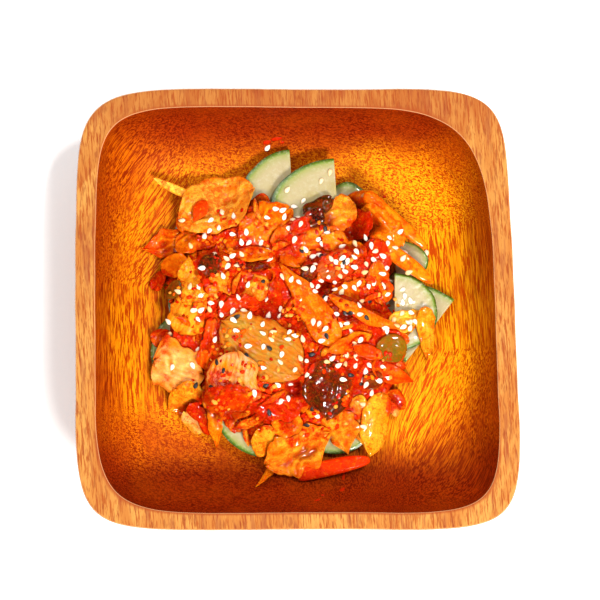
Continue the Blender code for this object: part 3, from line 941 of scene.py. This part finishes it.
# Pieces from the bottom of the heap to its top: kind, x, y, length, width, heading, head,
# tail and noise seed, then what makes this one different.
PIECES = [
    ("red_leaf", -54.5, 29.5, 25, 16, 183, "point", "cut", 1, dict(cup=1.0, lift=0.6, mid=AMBER, edge=RED)),
    ("leaf", -43.0, 31.5, 20, 14, 20, "round", "round", 2, dict(paste=0.4)),
    ("red_leaf", -60.5, 14.5, 9, 7, 60, "round", "round", 52, dict(mid=PASTE, edge=DEEP, paste=0.9)),
    ("leaf", -51.5, 20.0, 15, 9, -20, "round", "blunt", 3, dict(paste=0.6)),
    ("leaf", -58.5, -9.7, 10, 8, 20, "point", "blunt", 53, dict(mid=ORANGE, edge=PASTE)),
    ("stalk", -46.5, 0.0, 20, 16, 65, "round", "blunt", 4, dict(mid=YELLOW, paste=0.3)),
    ("stalk", -50.8, -23.0, 21, 21, -18, "cut", "cut", 5,
     dict(mid=rgb(242, 200, 112), edge=rgb(242, 132, 16), paste=0.45)),
    ("leaf", -46.5, -37.5, 16, 14, -40, "oval", "blunt", 6, dict(mid=YELLOW, edge=AMBER)),
    ("smooth", -44.5, -46.5, 12, 7, -50, "round", "blunt", 7, dict(mid=PALE, edge=YELLOW)),
    ("shred", -41.0, -45.0, 16, 6, -57, "blunt", "cut", 8, dict(mid=RED, edge=PASTE)),
    ("smooth", -13.0, -54.0, 12, 12, -60, "blunt", "round", 9, {}),
    ("red_leaf", 41.5, -37.0, 11, 8, -35, "round", "oval", 10, dict(mid=ORANGE)),
    ("smooth", 41.0, -40.5, 7, 4, -60, "round", "round", 11, dict(mid=PALE)),
    ("red_leaf", -45.5, 42.0, 16, 13, 70, "round", "blunt", 54, dict(cup=0.5, mid=AMBER, edge=RED)),
    ("smooth", -35.0, 45.5, 33, 25, 22, "round", "round", 12,
     dict(cup=1.6, fold=(0.4, 1.4), mid=rgb(255, 200, 70), edge=rgb(250, 136, 18), paste=0.08)),
    ("smooth", -41.8, 43.6, 11, 6.5, 62, "oval", "point", 69,
     dict(mid=RED, edge=rgb(226, 78, 8), paste=0.0)),
    ("leaf", -13.5, 37.0, 25, 20, 35, "round", "oval", 13, dict(paste=0.45)),
    ("leaf", 28.3, 45.5, 18, 11, -20, "round", "blunt", 56, dict(mid=ORANGE, paste=0.7)),
    ("leaf", 35.5, 36.0, 23, 13, -42, "cut", "round", 57, dict(paste=0.3)),
    ("red_leaf", 24.0, 37.0, 15, 12, 40, "round", "round", 58, dict(mid=RED, edge=DEEP, paste=0.9)),
    ("leaf", 16.5, 43.0, 16, 13, 20, "blunt", "round", 14, dict(mid=YELLOW, cup=0.8)),
    ("leaf", 8.0, 31.5, 22, 11, 12, "round", "point", 59, dict(paste=0.3)),
    ("red_leaf", 31.2, 22.0, 17, 13, 60, "round", "blunt", 60, dict(mid=RED, edge=PASTE, paste=0.9)),
    ("leaf", 19.5, 27.0, 20, 13, -30, "round", "oval", 61, {}),
    ("leaf", -24.0, 13.0, 28, 16, -12, "oval", "round", 15, dict(cup=0.8, mid=YELLOW, edge=ORANGE)),
    ("leaf", -45.5, 13.5, 20, 13, 96, "point", "cut", 16,
     dict(lift=1.4, mid=YELLOW, edge=AMBER, paste=0.1)),
    ("red_leaf", -36.5, -13.5, 22, 9, 80, "round", "blunt", 17, dict(fold=(0.0, 1.0))),
    ("leaf", -3.0, 28.0, 18, 13, -60, "round", "blunt", 62, dict(mid=ORANGE)),
    ("stalk", 16.0, 19.5, 18, 13, 30, "round", "oval", 18,
     dict(mid=rgb(176, 98, 34), edge=rgb(196, 52, 8), paste=0.5)),
    ("leaf", 24.0, 6.0, 20, 14, 10, "round", "round", 19, dict(cup=1.2)),
    ("red_leaf", 35.0, 12.5, 18, 10, 100, "round", "blunt", 20, dict(mid=AMBER)),
    ("red_leaf", -5.4, 7.0, 18, 12, -70, "round", "round", 63, dict(mid=RED, edge=DEEP, paste=0.8)),
    ("red_leaf", -25.0, 2.0, 18, 10, 10, "round", "blunt", 64, dict(mid=RED, edge=PASTE, paste=0.7)),
    ("leaf", 34.0, -3.5, 14, 9, -10, "blunt", "round", 65, {}),
    ("leaf", 46.0, -3.0, 16, 9, 6, "round", "oval", 22,
     dict(mid=rgb(250, 204, 70), edge=YELLOW, paste=0.0)),
    ("leaf", 54.5, -9.0, 23, 8, -84, "point", "blunt", 23,
     dict(mid=YELLOW, edge=AMBER, fold=(0.2, 1.2), paste=0.1)),
    ("leaf", 30.5, -36.0, 15, 12, 10, "round", "round", 24, {}),
    ("leaf", 27.0, -46.0, 22, 9, -80, "oval", "blunt", 67, dict(mid=YELLOW, edge=AMBER, paste=0.15)),
    ("smooth", 33.0, -47.0, 27, 12, -102, "oval", "blunt", 25, dict(cup=-0.8, paste=0.08)),
    ("leaf", 19.0, -50.0, 19, 14, -75, "point", "blunt", 26, dict(mid=YELLOW, edge=ORANGE)),
    ("shred", -12.0, -67.5, 17, 4, 225, "point", "blunt", 27, dict(mid=ORANGE, edge=AMBER)),
    ("leaf", 0.0, -58.0, 30, 18, 25, "oval", "round", 28,
     dict(cup=1.0, fold=(0.3, 1.5), mid=YELLOW, edge=ORANGE)),
    ("leaf", -4.5, -46.5, 12, 11, 60, "round", "round", 29, dict(mid=AMBER)),
    ("leaf", -35.2, -47.0, 21, 7, -88, "point", "blunt", 30, dict(mid=AMBER, edge=ORANGE)),
    ("leaf", -28.0, -35.0, 24, 16, -15, "round", "blunt", 31, dict(mid=YELLOW, edge=ORANGE, paste=0.5)),
    ("red_leaf", -10.0, -38.5, 22, 14, -20, "round", "round", 32, dict(mid=RED, edge=PASTE, paste=0.9)),
    ("leaf", 22.7, -24.0, 25, 10, -8, "oval", "round", 33, dict(mid=ORANGE)),
    ("strap", 40.5, -26.0, 19, 8, -18, "point", "cut", 34, {}),
    ("pepper", 31.6, -28.5, 9, 7.5, 20, "round", "round", 35, dict(mid=rgb(120, 62, 20))),
]

# Pieces that lie on top of everything else, in the same terms.
TOP_PIECES = [
    ("dark", 11.8, -33.0, 22, 20, -95, "oval", "blunt", 37, dict(cup=2.0, paste=0.05)),
    ("pepper", 8.6, 45.5, 14, 8, 30, "round", "blunt", 38,
     dict(mid=rgb(62, 50, 8), edge=rgb(40, 24, 6), paste=0.1)),
    ("dark", 7.0, 39.5, 9, 8, 30, "blunt", "round", 66,
     dict(mid=rgb(40, 10, 6), edge=rgb(24, 8, 4), paste=0.0)),
    ("chili", 0.8, 36.4, 9, 6, 25, "blunt", "round", 39, dict(cup=1.0)),
    ("pepper", 4.6, 15.8, 8, 6, 60, "round", "round", 40, dict(mid=rgb(44, 34, 10))),
    ("dark", -36.5, 19.5, 10, 9, 70, "round", "blunt", 81,
     dict(mid=rgb(58, 34, 10), edge=rgb(44, 14, 4), paste=0.1)),
    # This dark strip is a painted shadow along the edge of the leaf beside it.
    ("dark", -18.5, 19.5, 14, 5, -8, "point", "round", 82,
     dict(mid=rgb(84, 10, 4), edge=rgb(60, 8, 2), paste=0.1)),
    ("dark", -52.5, 9.5, 9, 6, 50, "round", "round", 83,
     dict(mid=rgb(110, 84, 14), edge=rgb(70, 30, 6), paste=0.1)),
    ("dark", 21.5, 1.0, 15, 10, -28, "round", "blunt", 80,
     dict(mid=rgb(128, 8, 4), edge=rgb(92, 5, 2), paste=0.3)),
    ("glass", -15.0, -15.5, 38, 26, -33, "round", "round", 41, dict(cup=-1.2, paste=0.06)),
    ("ribbed", -27.3, -28.5, 21, 21, 84, "blunt", "blunt", 42, dict(paste=0.1)),
    ("leaf", -28.5, -36.5, 21, 11, 6, "round", "blunt", 68, dict(mid=ORANGE, edge=RED, paste=0.5)),
    ("green", 39.5, -15.5, 13, 12, -10, "round", "round", 36, dict(paste=0.02, cup=-0.6)),
    ("strap", 4.5, 3.0, 42, 13, -57, "blunt", "point", 43, dict(fold=(0.1, 0.8), mid=AMBER, edge=ORANGE)),
    ("leaf", -20.5, 24.5, 21, 6.5, -5, "round", "point", 44, dict(mid=AMBER, lift=0.8)),
    ("shred", 22.0, -13.5, 20, 6, 25, "oval", "round", 45, dict(mid=AMBER)),
    ("shred", 29.5, -17.0, 13, 6, -15, "round", "round", 46, {}),
    ("strap", 30.3, -2.0, 39, 5.5, -20, "point", "round", 47, dict(bend=3.0, mid=AMBER, edge=CARROT)),
]


def make_filler(field, batch):
    """Small shreds and scraps that fill the heap between the larger pieces."""
    for k in range(SCRAPS):
        spot = random_spot(2 * math.pi)
        kind = ("red_leaf", "shred", "leaf", "shred", "red_leaf", "stalk")[int(RNG.integers(6))]
        length = RNG.uniform(8, 18)
        width = length * RNG.uniform(0.3, 0.75)
        head, tail = RNG.choice(["round", "oval", "point", "blunt", "cut"], 2)
        drape(field, batch, kind, *spot, length, width, RNG.uniform(0, 360), head, tail, 200 + k,
              cup=RNG.uniform(-0.8, 1.2), bend=RNG.uniform(-2, 2), paste=0.7,
              mid=(ORANGE, YELLOW, AMBER)[int(RNG.integers(3))], edge=(RED, ORANGE)[int(RNG.integers(2))])


def make_threads(field, batch):
    """Thin curled shreds lying loose on top."""
    for k in range(THREADS):
        spot = random_spot(share=0.92)
        length = RNG.uniform(7, 16)
        drape(field, batch, "shred", *spot, length, RNG.uniform(1.6, 2.8), RNG.uniform(0, 360),
              "oval", "point", 600 + k, bend=RNG.uniform(-3, 3), paste=0.3,
              mid=(AMBER, ORANGE, YELLOW)[int(RNG.integers(3))], edge=(RED, ORANGE)[k % 2])


def make_cabbage(field):
    """The leaves, stalks, peppers and scraps, in four meshes."""
    scraps, leaves, stalks, peppers = Batch(), Batch(), Batch(), Batch()
    home = dict.fromkeys(("stalk", "glass", "ribbed"), stalks)
    home.update(dict.fromkeys(("green", "dark", "pepper", "chili"), peppers))

    def lay(pieces):
        for kind, *place, extra in pieces:
            drape(field, home.get(kind, leaves), kind, *place, **extra)

    make_filler(field, scraps)
    lay(PIECES)
    make_threads(field, scraps)
    lay(TOP_PIECES)
    # Painted shade: pieces that lie deep between their neighbours are darkened.
    surroundings = blur(field.z, 3.0 / CELL)
    for batch in (scraps, leaves, stalks, peppers):
        paint_gap_shade(batch, field, surroundings)
    scraps.build(
        "cabbage_scraps", food_material("scrap_flesh", 0.4, 0.35, 0.8, 0.35, 0.35), "cabbage_leaf",
    )
    leaves.build(
        "cabbage_leaves", food_material("leaf_flesh", 0.4, 0.4, 0.8, 0.3, 0.55, 0.75), "cabbage_leaf",
        "cabbage_leaf_back", "cabbage_leaf_middle", "cabbage_leaf_front", "cabbage_leaf_corner",
    )
    stalks.build(
        "cabbage_stalks", food_material("stalk_flesh", 0.3, 0.5, 0.6, 0.2, 0.6, 0.2), "cabbage_stalk",
        "cabbage_stalk", "cabbage_stalk_left",
    )
    peppers.build(
        "pepper_slices", food_material("pepper_flesh", 0.25, 0.3, 0.6, 0.15, 0.6, 0.3), "dark_pepper",
        "green_chili_slice", "dark_pepper_slice",
    )


def paint_gap_shade(batch, field, surroundings):
    """Painted shade: reddens and darkens what lies deep between its neighbours."""
    for k, points in enumerate(batch.points):
        depth = field.sample(points[:, 0], points[:, 1], surroundings) - points[:, 2]
        share = smoothstep(0.0, 3.2, depth)
        batch.colours[k] = blend(np.array(batch.colours[k]) * PIECE_SHADE, DEEP, 0.88 * share)


# ------------------------------------------------------------------ cucumber and carrot

# Half oval slices, as in the CAD model: centre x, y, z, half length of the flat side,
# depth, direction the flat side faces, tilt, direction that rises.
CUCUMBER = {
    "cucumber_back_left": (-2.1, 48.7, 18.8, 22.0, 22.4, 4, 4, 90),
    "cucumber_back_middle": (16.8, 46.3, 23.4, 20.0, 28.5, 4, 5, 60),
    "cucumber_back_right": (19.5, 34.5, 13.4, 13.0, 23.0, 262, 3, 82),
    "cucumber_right_slim": (42.0, 22.5, 17.6, 9.0, 14.0, 180, 2, 0),
    "cucumber_right_upper": (47.0, 8.0, 13.2, 16.0, 11.0, 330, 1, 0),
    "cucumber_right_front": (41.0, 0.1, 25.0, 16.5, 18.6, 180, 9, 180),
    "cucumber_right_outer": (56.4, -7.5, 18.2, 17.0, 25.0, 322, 4, 322),
    "cucumber_front_left": (-14.7, -41.8, 18.6, 21.0, 19.0, 69, 3, 249),
    "cucumber_front_right": (16.0, -40.8, 15.0, 19.0, 19.0, 90, 2, 270),
    "cucumber_left_back": (-36.0, 29.5, 14.2, 18.7, 18.7, 310, 2, 130),
    "cucumber_left_middle": (-37.6, 5.0, 18.4, 18.0, 18.0, 0, 3, 180),
    "cucumber_left_front": (-44.1, -16.4, 14.2, 19.0, 19.0, 40, 3, 220),
}
SLICE_THICKNESS = 3.0
SKIN = rgb(34, 64, 6)
SKIN_LIGHT = rgb(100, 132, 14)
FLESH_RIM = rgb(150, 150, 82)
FLESH = rgb(172, 158, 116)
SEED_BED = rgb(164, 146, 92)


def slice_points(half_flat, depth, seed):
    """The upper side of a half oval slice, flat side on x = 0, as rings from its skin inward."""
    sectors, rings = ((90, 30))
    turn = np.linspace(0, math.pi, sectors)
    share = np.concatenate([[1.0, 1.0], np.linspace(0.995, 0.02, rings)])
    x = -np.outer(share, depth * np.sin(turn))
    y = np.outer(share, half_flat * np.cos(turn))
    wobble = 1 + 0.012 * noise2(turn * 4, 0 * turn, seed)
    x, y = x * wobble, y * wobble
    half = SLICE_THICKNESS / 2
    rounding = np.concatenate([[0.12, 0.62], 0.62 + 0.38 * smoothstep(0, 0.05, 1 - share[2:])])
    z = rounding[:, None] * half - 0.35 * smoothstep(0.1, 0.6, 1 - share)[:, None]
    z = z + 0.10 * rough2(x / 2.5, y / 2.5, seed + 5) * (share[:, None] < 0.99)
    return x, y, z, share, turn


def slice_colours(share, turn, seed):
    """Dark skin, a bright green line under it, pale flesh and a darker bed of seeds."""
    depth = np.repeat((1 - share)[:, None], len(turn), 1)
    colour = blend(SKIN_LIGHT, FLESH_RIM, smoothstep(0.05, 0.11, depth))
    colour = blend(colour, FLESH, smoothstep(0.08, 0.26, depth))
    bed = smoothstep(0.42, 0.55, depth) * (0.6 + 0.4 * np.cos(turn * 6)[None, :])
    colour = blend(colour, SEED_BED, np.clip(bed, 0, 1))
    streaks = 0.5 + 0.5 * noise2(turn * 14, 0 * turn, seed)
    skin = np.broadcast_to(blend(SKIN, SKIN_LIGHT, 0.25 * streaks), colour.shape)
    return blend(colour, skin, 1 - smoothstep(0.02, 0.06, depth))


def add_slice(field, batch, x, y, z, half_flat, depth, faces, tilt, rises, seed):
    """One slice, closed, turned, tilted and put in place."""
    sx, sy, sz, share, turn = slice_points(half_flat, depth, seed)
    colours = slice_colours(share, turn, seed).reshape(-1, 3)
    upper = stacked(sx, sy, sz)
    lower = upper * (1, 1, -1)
    lean, rise = math.radians(tilt), math.radians(rises)
    axis = np.array([math.sin(rise), -math.cos(rise), 0])
    cross = np.array([[0, 0, axis[1]], [0, 0, -axis[0]], [-axis[1], axis[0], 0]])
    tilted = np.eye(3) + math.sin(lean) * cross + (1 - math.cos(lean)) * cross @ cross
    points = np.concatenate([upper, lower]) @ about_z(math.radians(faces)).T @ tilted.T + (x, y, z)
    batch.add(points, closed_faces(*sx.shape), np.concatenate([colours, colours]))
    field.splat(*points[: len(upper)].T)


def make_cucumber(field):
    batch = Batch()
    order = sorted(CUCUMBER, key=lambda name: CUCUMBER[name][2])
    for seed, name in enumerate(order, 300):
        add_slice(field, batch, *CUCUMBER[name], seed)
    batch.build("cucumber_slices", cucumber_material(), "cucumber", *CUCUMBER)


# Sticks, as in the CAD model: centre x, y, z, length, width, thickness, share left at the
# tip, heading, climb.
STICKS = {
    "carrot_stick_back": (41.8, 38.9, 27.0, 36.0, 5.6, 4.2, 0.35, -42.8, -10.0),
    "carrot_stick_front": (44.4, 22.2, 27.6, 33.0, 6.6, 4.2, 0.30, -39.0, -6.0),
    "radish_stick": (-50.4, 52.4, 20.0, 26.0, 4.0, 3.2, 0.25, 152.0, 8.0),
    "carrot_slice_front": (15.0, -65.2, 20.2, 32.0, 7.0, 4.0, 0.45, 9.0, 0.0),
}


def add_stick(field, batch, x, y, z, length, width, thickness, tip, heading, climb, mid, edge, seed):
    """A cut stick with soft corners that narrows to one end and bows a little."""
    rows, columns = ((64, 36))
    u = np.linspace(-1, 1, rows)[:, None]
    turn = np.linspace(0, 2 * math.pi, columns, endpoint=False)[None, :]
    ends = (1 - np.abs(u) ** 18) ** 0.5
    taper = np.where(u > 0, 1 - (1 - tip) * np.clip(u, 0, 1) ** 2.2, 1.0) * (0.05 + 0.95 * ends)
    square = 3.6
    c, s = np.cos(turn), np.sin(turn)
    reach = 1 / (np.abs(c) ** square + np.abs(s) ** square) ** (1 / square)
    across = width / 2 * taper * reach * c + 0.5 * np.sin(u * 2.0)
    up = thickness / 2 * taper * reach * s + 0.12 * noise2(u * length / 4, turn * 2, seed)
    along = u * length / 2 + 0 * turn
    a, b = math.radians(heading), math.radians(climb)
    px = x + (along * math.cos(b) - up * math.sin(b)) * math.cos(a) - across * math.sin(a)
    py = y + (along * math.cos(b) - up * math.sin(b)) * math.sin(a) + across * math.cos(a)
    pz = z + along * math.sin(b) + up * math.cos(b)
    points = stacked(px, py, pz)
    streak = 0.5 + 0.5 * noise2(across * 1.3, along / 14, seed)
    core = 1 - smoothstep(0.15, 0.5, np.abs(across) / width)
    colour = blend(edge, mid, np.clip(core * 0.8 + 0.3 * streak, 0, 1)).reshape(-1, 3)
    stain = 0.5 * smoothstep(0.1, 0.9, rough2(px / 2.5, py / 2.5, seed)).ravel()
    colour = blend(colour, PASTE, stain)
    batch.add(points, tube_faces(rows, columns), colour, stain)
    field.splat(*points.T)


def make_sticks(field, name, slot, mid, edge, *nodes):
    """The sticks that replace the given nodes, as one mesh."""
    batch = Batch()
    for seed, node in enumerate(nodes, 400):
        add_stick(field, batch, *STICKS[node], mid, edge, seed)
    batch.build(name, food_material(name + "_flesh", 0.3, 0.3, 0.9, 0.15, 0.5, 0.4), slot, *nodes)


# ------------------------------------------------------------------ seeds and flakes


def seed_shape():
    """One sesame seed, 1 long: a flattened drop, as points and faces."""
    rows, columns = 9, 10
    u = np.linspace(0, 1, rows)[:, None]
    turn = 2 * np.pi * np.arange(columns)[None, :] / columns
    radius = 0.30 * np.sin(np.pi * u**0.72) ** 0.8 + 0.012
    along = (u - 0.5) * np.ones_like(turn)
    return stacked(along, radius * np.cos(turn), 0.52 * radius * np.sin(turn)), tube_faces(rows, columns)


def surface_tree():
    """One search tree over all that is visible, to set small things on."""
    points, faces = [], []
    for obj in bpy.data.objects:
        if obj.type != "MESH" or obj.name in frame["nodes"] or obj.name == "floor":
            continue
        base = len(points)
        points += [v.co for v in obj.data.vertices]
        faces += [[base + i for i in p.vertices] for p in obj.data.polygons]
    return BVHTree.FromPolygons(points, faces)


def set_down(tree, batch, shape, faces, spot, size, spin, colour, sit, tip=0.0):
    """Sets one small thing on the surface under a spot, square to it."""
    place, normal, _, _ = tree.ray_cast(Vector((spot[0] * MM, spot[1] * MM, CASTING_HEIGHT)), DOWN)
    if place is None:
        return
    normal = (normal if normal.z > 0 else -normal) + Vector((0, 0, 0.5 + tip))
    turned = np.array(normal.to_track_quat("Z", "Y").to_matrix()) @ about_z(spin)
    centre = np.array(place) / MM + np.array([0, 0, sit * size])
    batch.add(shape * size @ turned.T + centre, faces, colour)


# Where sesame lies thickest: centre x, y, spread, and how many white seeds.
SESAME = (
    (30, 20, 11, 24), (12, 22, 12, 24), (-3, 44, 7, 11), (-30, 32, 12, 18), (-20, 4, 15, 20),
    (22, 0, 14, 22), (45, -6, 3.4, 9), (12, -22, 11, 12), (-12, -16, 13, 13), (28, -26, 8, 8),
    (-46, 8, 11, 8), (-50, -22, 7, 3), (0, -36, 12, 5), (32, -44, 8, 2), (44, 28, 5, 6),
    (42, 6, 7, 4), (10, 57, 3, 2), (-34, 45, 5, 2), (-13, 72, 0.4, 1),
)
SEED_GAP = 2.4
SEED_TRIES = 6
BLACK_REACH = 46.0

# Places that stay nearly bare of seeds and flakes: x, y, radius.
BARE = (
    (-41.8, 44.0, 5.5), (11.0, -34.0, 6.5), (40.0, -16.0, 5.0), (-34.0, 20.0, 4.0), (-40.0, 53.0, 8.0),
)


def bare(spot):
    return any(math.hypot(spot[0] - x, spot[1] - y) < radius for x, y, radius in BARE)


def make_sesame(tree):
    """White seeds where the table puts them, kept apart, and black ones anywhere on the heap."""
    shape, faces = seed_shape()
    white, black = Batch(), Batch()
    cream, tan = rgb(252, 243, 222), rgb(228, 184, 116)
    placed = []
    for x, y, spread, count in SESAME:
        for _ in range(count):
            for _ in range(SEED_TRIES):
                spot = np.array([x, y]) + RNG.normal(size=2) * spread * 0.72
                if not bare(spot) and all(np.hypot(*(spot - other)) > SEED_GAP for other in placed):
                    break
            placed.append(spot)
            shade = blend(cream, tan, RNG.uniform() ** 3)
            size = RNG.uniform(2.8, 3.5)
            spin = RNG.uniform(0, FULL_TURN)
            set_down(tree, white, shape, faces, spot, size, spin, shade, 0.16, RNG.uniform(-0.4, 1.0))
    for _ in range(BLACK_SEEDS):
        angle = RNG.uniform(0, FULL_TURN)
        spot = on_heap(angle, BLACK_REACH * math.sqrt(RNG.uniform(0, 1)))
        size = RNG.uniform(2.6, 3.2)
        set_down(tree, black, shape, faces, spot, size, RNG.uniform(0, FULL_TURN), rgb(38, 32, 32), 0.14)
    white.build("sesame_white", seed_material("sesame_white_coat", False), "kimchi")
    black.build("sesame_black", seed_material("sesame_black_coat", True), "kimchi")


def flake_shape(seed):
    """A small irregular lump, 1 across."""
    rows, columns = 6, 10
    u = np.linspace(-1, 1, rows)[:, None] * 0.98
    turn = 2 * np.pi * np.arange(columns)[None, :] / columns
    c, s = np.cos(turn), np.sin(turn)
    radius = np.sqrt(1 - u**2) * 0.5 * (1 + 0.35 * noise2(c * 1.7 + u, s * 1.7 + u, seed))
    return stacked(radius * c, 0.75 * radius * s, 0.28 * u + 0 * turn), tube_faces(rows, columns)


def make_flakes(tree):
    """Chili flakes and minced garlic: small flat and round bits, in loose knots of eight."""
    batch = Batch()
    shapes = [flake_shape(500 + k) for k in range(6)]
    warm = (rgb(246, 130, 20), rgb(242, 92, 8), rgb(222, 44, 2), rgb(240, 160, 60))
    for k in range(BITS):
        if k % 8 == 0:
            knot = np.array(random_spot())
        spot = knot + RNG.normal(size=2) * 2.6
        shape, faces = shapes[k % len(shapes)]
        minced = RNG.uniform() < 0.62 and not bare(spot)
        if minced:
            colour, size = warm[int(RNG.integers(4))], RNG.uniform(1.2, 2.6)
        else:
            colour, size = blend(rgb(205, 20, 2), rgb(140, 8, 0), RNG.uniform()), RNG.uniform(0.8, 2.2)
        shape = shape * (1, 1, 1.7 if minced else 0.8)
        set_down(tree, batch, shape, faces, spot, size, RNG.uniform(0, FULL_TURN), colour, 0.1)
    batch.build("chili_and_garlic", food_material("mince_flesh", 0.35, 0.2, 1.5, 0.2, 0.4, 0.4), "kimchi")


# Spots of sauce on the wood: x, y, length, width, heading.
SPOTS = (
    (-13.6, 74.0, 4.0, 2.6, 20), (-9.4, 75.2, 5.2, 2.2, 15), (-13.8, 71.4, 2.8, 2.6, 80),
    (-7.0, 74.0, 2.2, 1.5, 0), (19.4, -70.0, 9.0, 1.3, 80), (18.6, -75.0, 3.4, 1.6, 60),
    (8.0, -79.0, 3.6, 1.6, 30), (10.4, -77.0, 1.6, 1.1, 0), (-58.5, 12.0, 2.0, 1.2, 70),
    (37.5, 51.5, 1.8, 1.2, 20),
)


def make_spots(tree):
    batch = Batch()
    for k, (x, y, length, width, heading) in enumerate(SPOTS):
        shape, faces = flake_shape(540 + k)
        shape = shape * (length, width / 0.75, 0.9)
        set_down(tree, batch, shape, faces, (x, y), 1.0, math.radians(heading), rgb(178, 30, 2), 0.05)
    batch.build("sauce_spots", food_material("sauce_film", 0.3, 0.1, 1.5, 0.1, 0.6, 0.3), "kimchi")


# ------------------------------------------------------------------ stage


def make_stage():
    size = 3.0
    corners = [(-size, -size, 0), (size, -size, 0), (size, size, 0), (-size, size, 0)]
    data = bpy.data.meshes.new("floor")
    data.from_pydata(corners, [], [(0, 1, 2, 3)])
    floor = bpy.data.objects.new("floor", data)
    floor.data.materials.append(floor_material())
    bpy.context.scene.collection.objects.link(floor)


def aimed(name, data, place, aim):
    """A light or camera at a place, looking at another."""
    obj = bpy.data.objects.new(name, data)
    obj.location = place
    obj.rotation_mode = "QUATERNION"
    obj.rotation_quaternion = (Vector(aim) - Vector(place)).to_track_quat("-Z", "Y")
    bpy.context.scene.collection.objects.link(obj)
    return obj


# A soft key from the near right, a small bright lamp for wet glints, and even fill: name,
# place, size, power and colour.
LIGHTS = (
    ("key", (0.34, -0.62, 0.92), 0.30, 16.5, (1.0, 0.98, 0.95)),
    ("glint", (0.30, 0.25, 0.90), 0.08, 4.0, (1, 1, 1)),
    ("fill", (-0.7, 0.3, 1.1), 0.9, 5.0, (1, 1, 1)),
)
LIGHT_AIM = (0, 0, 0.03)
WORLD_STRENGTH = 0.72


def make_lights():
    for name, place, size, power, colour in LIGHTS:
        data = bpy.data.lights.new(name, "AREA")
        data.shape = "DISK"
        data.size = size
        data.energy = power
        data.color = colour
        aimed(name, data, place, LIGHT_AIM)
    world = bpy.data.worlds.new("studio")
    world.use_nodes = True
    background = world.node_tree.nodes["Background"]
    background.inputs["Color"].default_value = (1, 1, 1, 1)
    background.inputs["Strength"].default_value = WORLD_STRENGTH
    world.cycles_visibility.glossy = False
    bpy.context.scene.world = world


CAMERA_ELEVATION = 85.5
CAMERA_DISTANCE = 0.70
CAMERA_AIM = (0.0009, 0.0034, BOWL_HEIGHT * MM)
LENS = 102.5


def make_camera():
    """Nearly overhead, from the near side."""
    elevation = math.radians(CAMERA_ELEVATION)
    back = Vector((0, -math.cos(elevation), math.sin(elevation)))
    data = bpy.data.cameras.new("camera")
    data.lens = LENS
    place = Vector(CAMERA_AIM) + back * CAMERA_DISTANCE
    bpy.context.scene.camera = aimed("camera", data, place, CAMERA_AIM)


def main():
    field = field_from(make_bowl())
    make_cucumber(field)
    core = core_shape(field)
    make_sticks(field, "radish_sticks", "radish", rgb(255, 196, 70), YELLOW, "radish_stick")
    make_sticks(field, "carrot_slices", "carrot", RED, PASTE, "carrot_slice_front")
    make_sticks(field, "carrot_sticks", "carrot", rgb(250, 130, 6), CARROT,
                "carrot_stick_back", "carrot_stick_front")
    make_cabbage(field)
    make_core(field, *core)
    tree = surface_tree()
    make_flakes(tree)
    make_spots(tree)
    make_sesame(tree)
    make_stage()
    make_lights()
    make_camera()
    bpy.context.scene.view_settings.view_transform = "Standard"


main()
